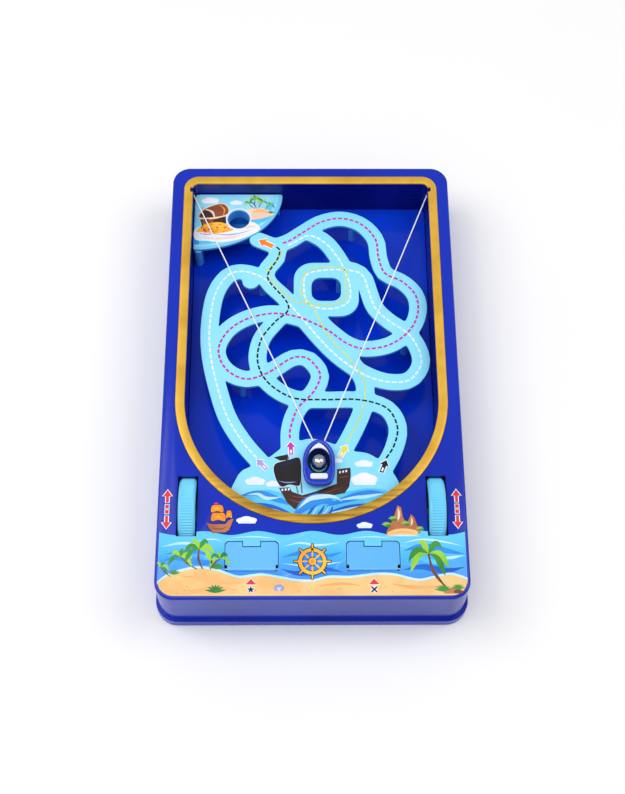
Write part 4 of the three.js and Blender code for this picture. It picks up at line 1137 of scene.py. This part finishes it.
guide_plastic = moulded("guide_dark_plastic", 0x1A2A9A, 0x14217F, 0.3)
for name in ("string_guide_left", "string_guide_right"):
    guide = polished(name + "_post", name, guide_plastic, edge=0.1)
    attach(guide, "root")
    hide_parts(name)


# ---------------------------------------------------------------- boat
# A glossy blue toy hull without a floor, with a rounded rail round a sunk white bow deck and a white seat.
# The well between them narrows downwards round the ball, which rolls on the maze plate; its inner walls are a
# matt dark navy that is painted shade.

WELL = {"y": -64.5, "half": 7, "reach": 8.5, "stretch": 1.75}

hull_low, hull_high = box_mm("boat_hull")
boat_x = (hull_low[0] + hull_high[0]) / 2
boat_blue = moulded("boat_blue_plastic", 0x1B3FCC, 0x1534B6, 0.2, Coat_Weight=0.2, Coat_Roughness=0.05)
# a matt dark navy that is painted shade for the inside of the ball well
well_painted_shade = moulded("boat_well_painted_shade", 0x0A1858, 0x071244, 0.4, Specular_IOR_Level=0.2)
boat_white = moulded("boat_white_plastic", 0xE9EEF6, 0xDCE3EF, 0.32, Coat_Weight=0.2, Coat_Roughness=0.1)
angle = np.linspace(0, 2 * np.pi, 160, endpoint=False)


def hull_ring(inset, z):
    """The hull's plan outline, moved inwards: full sides, a pointed bow and a rounded square stern. Ahead
    of the widest point the half width is a power of the cosine, behind it the outline is a superellipse."""
    half, middle = (hull_high[0] - hull_low[0]) / 2 - inset, hull_low[1] + 16.6
    fore, aft = hull_high[1] - middle - inset * 1.25, middle - hull_low[1] - inset
    along, across = np.sin(angle), np.cos(angle)
    bow = along > 0
    y = np.where(bow, fore * np.abs(along), -aft * np.abs(along) ** 0.62)
    x = np.where(bow, np.sign(across) * half * np.abs(across) ** 1.12,
                 np.sign(across) * half * np.abs(across) ** 0.5)
    return np.column_stack([boat_x + x, middle + y, np.full(len(angle), z)])


def well_ring(grow, z):
    """The ball well's outline: an oval, each point at the hull outline's angle, whose length grows by
    WELL's stretch for each millimetre of grow."""
    reach = WELL["reach"] + WELL["stretch"] * grow
    return np.column_stack([boat_x + (WELL["half"] + grow) * np.cos(angle), WELL["y"] + reach * np.sin(angle),
                            np.full(len(angle), z)])


rail, keel = hull_high[2], hull_low[2]
outside = [(2.0, keel), (1.2, keel + 0.5), (0.5, keel + 2.6), (0.15, keel + 3.4), (0.0, keel + 4.2),
           (0.0, rail - 1.0), (0.2, rail - 0.4), (0.6, rail - 0.08), (1.0, rail), (1.6, rail - 0.08),
           (2.0, rail - 0.4), (2.25, rail - 0.9), (2.3, rail - 1.6)]
inside = [(0.35, rail - 1.6), (0.1, rail - 1.75), (0, rail - 2.1), (-0.2, keel + 3.2), (-1.7, keel + 1.1),
          (-1.8, keel + 0.3), (-1.5, keel)]
rings = [hull_ring(*at) for at in outside] + [well_ring(*at) for at in inside]
hull = link("boat_hull_moulding", [surface(np.stack(rings))], boat_blue, smooth=50)
# the well's inner walls take the dark navy: painted shade in the recess round the ball
hull.data.materials.append(well_painted_shade)
row = np.arange(len(hull.data.polygons)) // len(angle)
hull.data.polygons.foreach_set("material_index", (row >= len(outside)).astype(np.int32))
deck = polished("bow_deck_insert", "boat_bow_deck", boat_white, edge=0.25)
seat = polished("seat_insert", "boat_seat", boat_white, edge=0.4)
for made, node, finish_slot in ((hull, "boat_hull", "boat_blue"), (deck, "boat_bow_deck", "boat_white"),
                                (seat, "boat_seat", "boat_white")):
    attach(made, "boat")
    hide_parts(node)


# ---------------------------------------------------------------- ball
# A 10 mm bearing ball of polished steel, loose in the boat's well, with hair-fine rolling marks.

ball_low, ball_high = box_mm("steel_ball")
ball_middle = (ball_low + ball_high) / 2
ball_r = (ball_high[2] - ball_low[2]) / 2
around = np.linspace(0, 2 * np.pi, 96, endpoint=False)
up = np.linspace(-np.pi / 2, np.pi / 2, 49)[1:-1, None]
sphere = np.stack([ball_middle[0] + ball_r * np.cos(up) * np.cos(around),
                   ball_middle[1] + ball_r * np.cos(up) * np.sin(around),
                   ball_middle[2] + ball_r * np.sin(up) * np.ones_like(around)], -1)
chrome, place = finish("polished_steel", Metallic=1.0)
marks = place.noise(1500, 3, (0.1, 1, 1))
feed(chrome, Base_Color=marks.blend(ink(0xB4B6BA), ink(0xC8CACE)), Roughness=0.05 + 0.08 * marks,
     Bump=(marks, 0.05, 0.00005))
ball = link("bearing_ball", [surface(sphere, close_rows=False)], chrome, smooth=60)
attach(ball, "ball")
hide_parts("steel_ball")


# ---------------------------------------------------------------- case screws
# Six zinc-plated self-tapping screws, sunk in the base, that hold the cover down.

zinc, place = finish("zinc_plate", Metallic=1.0)
spangle = place.noise(900, 3)
feed(zinc, Base_Color=spangle.blend(ink(0xA9AEB4), ink(0xC9CCD0)), Roughness=0.3 + 0.2 * spangle,
     Bump=(spangle, 0.2, 0.0001))
for node in sorted(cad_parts):
    if node.startswith("case_screw"):
        screw = polished(node + "_zinc", node, zinc, edge=0.12)
        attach(screw, "root")
        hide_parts(node)


# ---------------------------------------------------------------- room
# A plain pale floor in an evenly lit room, with three soft boxes: one overhead and one at each side.

ground = np.array([(-1600, -1600, 0), (1600, -1600, 0), (1600, 1600, 0), (-1600, 1600, 0)], float)
pale, place = finish("pale_floor", Roughness=0.75)
feed(pale, Base_Color=place.noise(3, 2).blend(ink(0xF7F7F7), ink(0xFDFDFD)))
floor = link("floor", [(ground, [[0, 1, 2, 3]])], pale)


def soft_box(name, power, size, position, target):
    """A square area light that faces a point."""
    lamp = bpy.data.objects.new(name, bpy.data.lights.new(name, "AREA"))
    lamp.data.energy, lamp.data.size = power, size
    lamp.location = position
    lamp.rotation_euler = (Vector(target) - Vector(position)).to_track_quat("-Z", "Y").to_euler()
    bpy.context.scene.collection.objects.link(lamp)


soft_box("overhead", 8, 1.2, (-0.2, -0.3, 1.7), (0, 0, 0))
soft_box("left", 7.6, 0.9, (-0.95, 0.15, 1.3), (0, 0, 0))
soft_box("right", 6.2, 0.9, (0.95, 0.1, 1.3), (0, 0, 0))
world = bpy.data.worlds.new("white_room")
bpy.context.scene.world = world
world.use_nodes = True
world.node_tree.nodes["Background"].inputs["Color"].default_value = (1, 1, 1, 1)
world.node_tree.nodes["Background"].inputs["Strength"].default_value = 0.47
bpy.context.scene.view_settings.view_transform = "Standard"
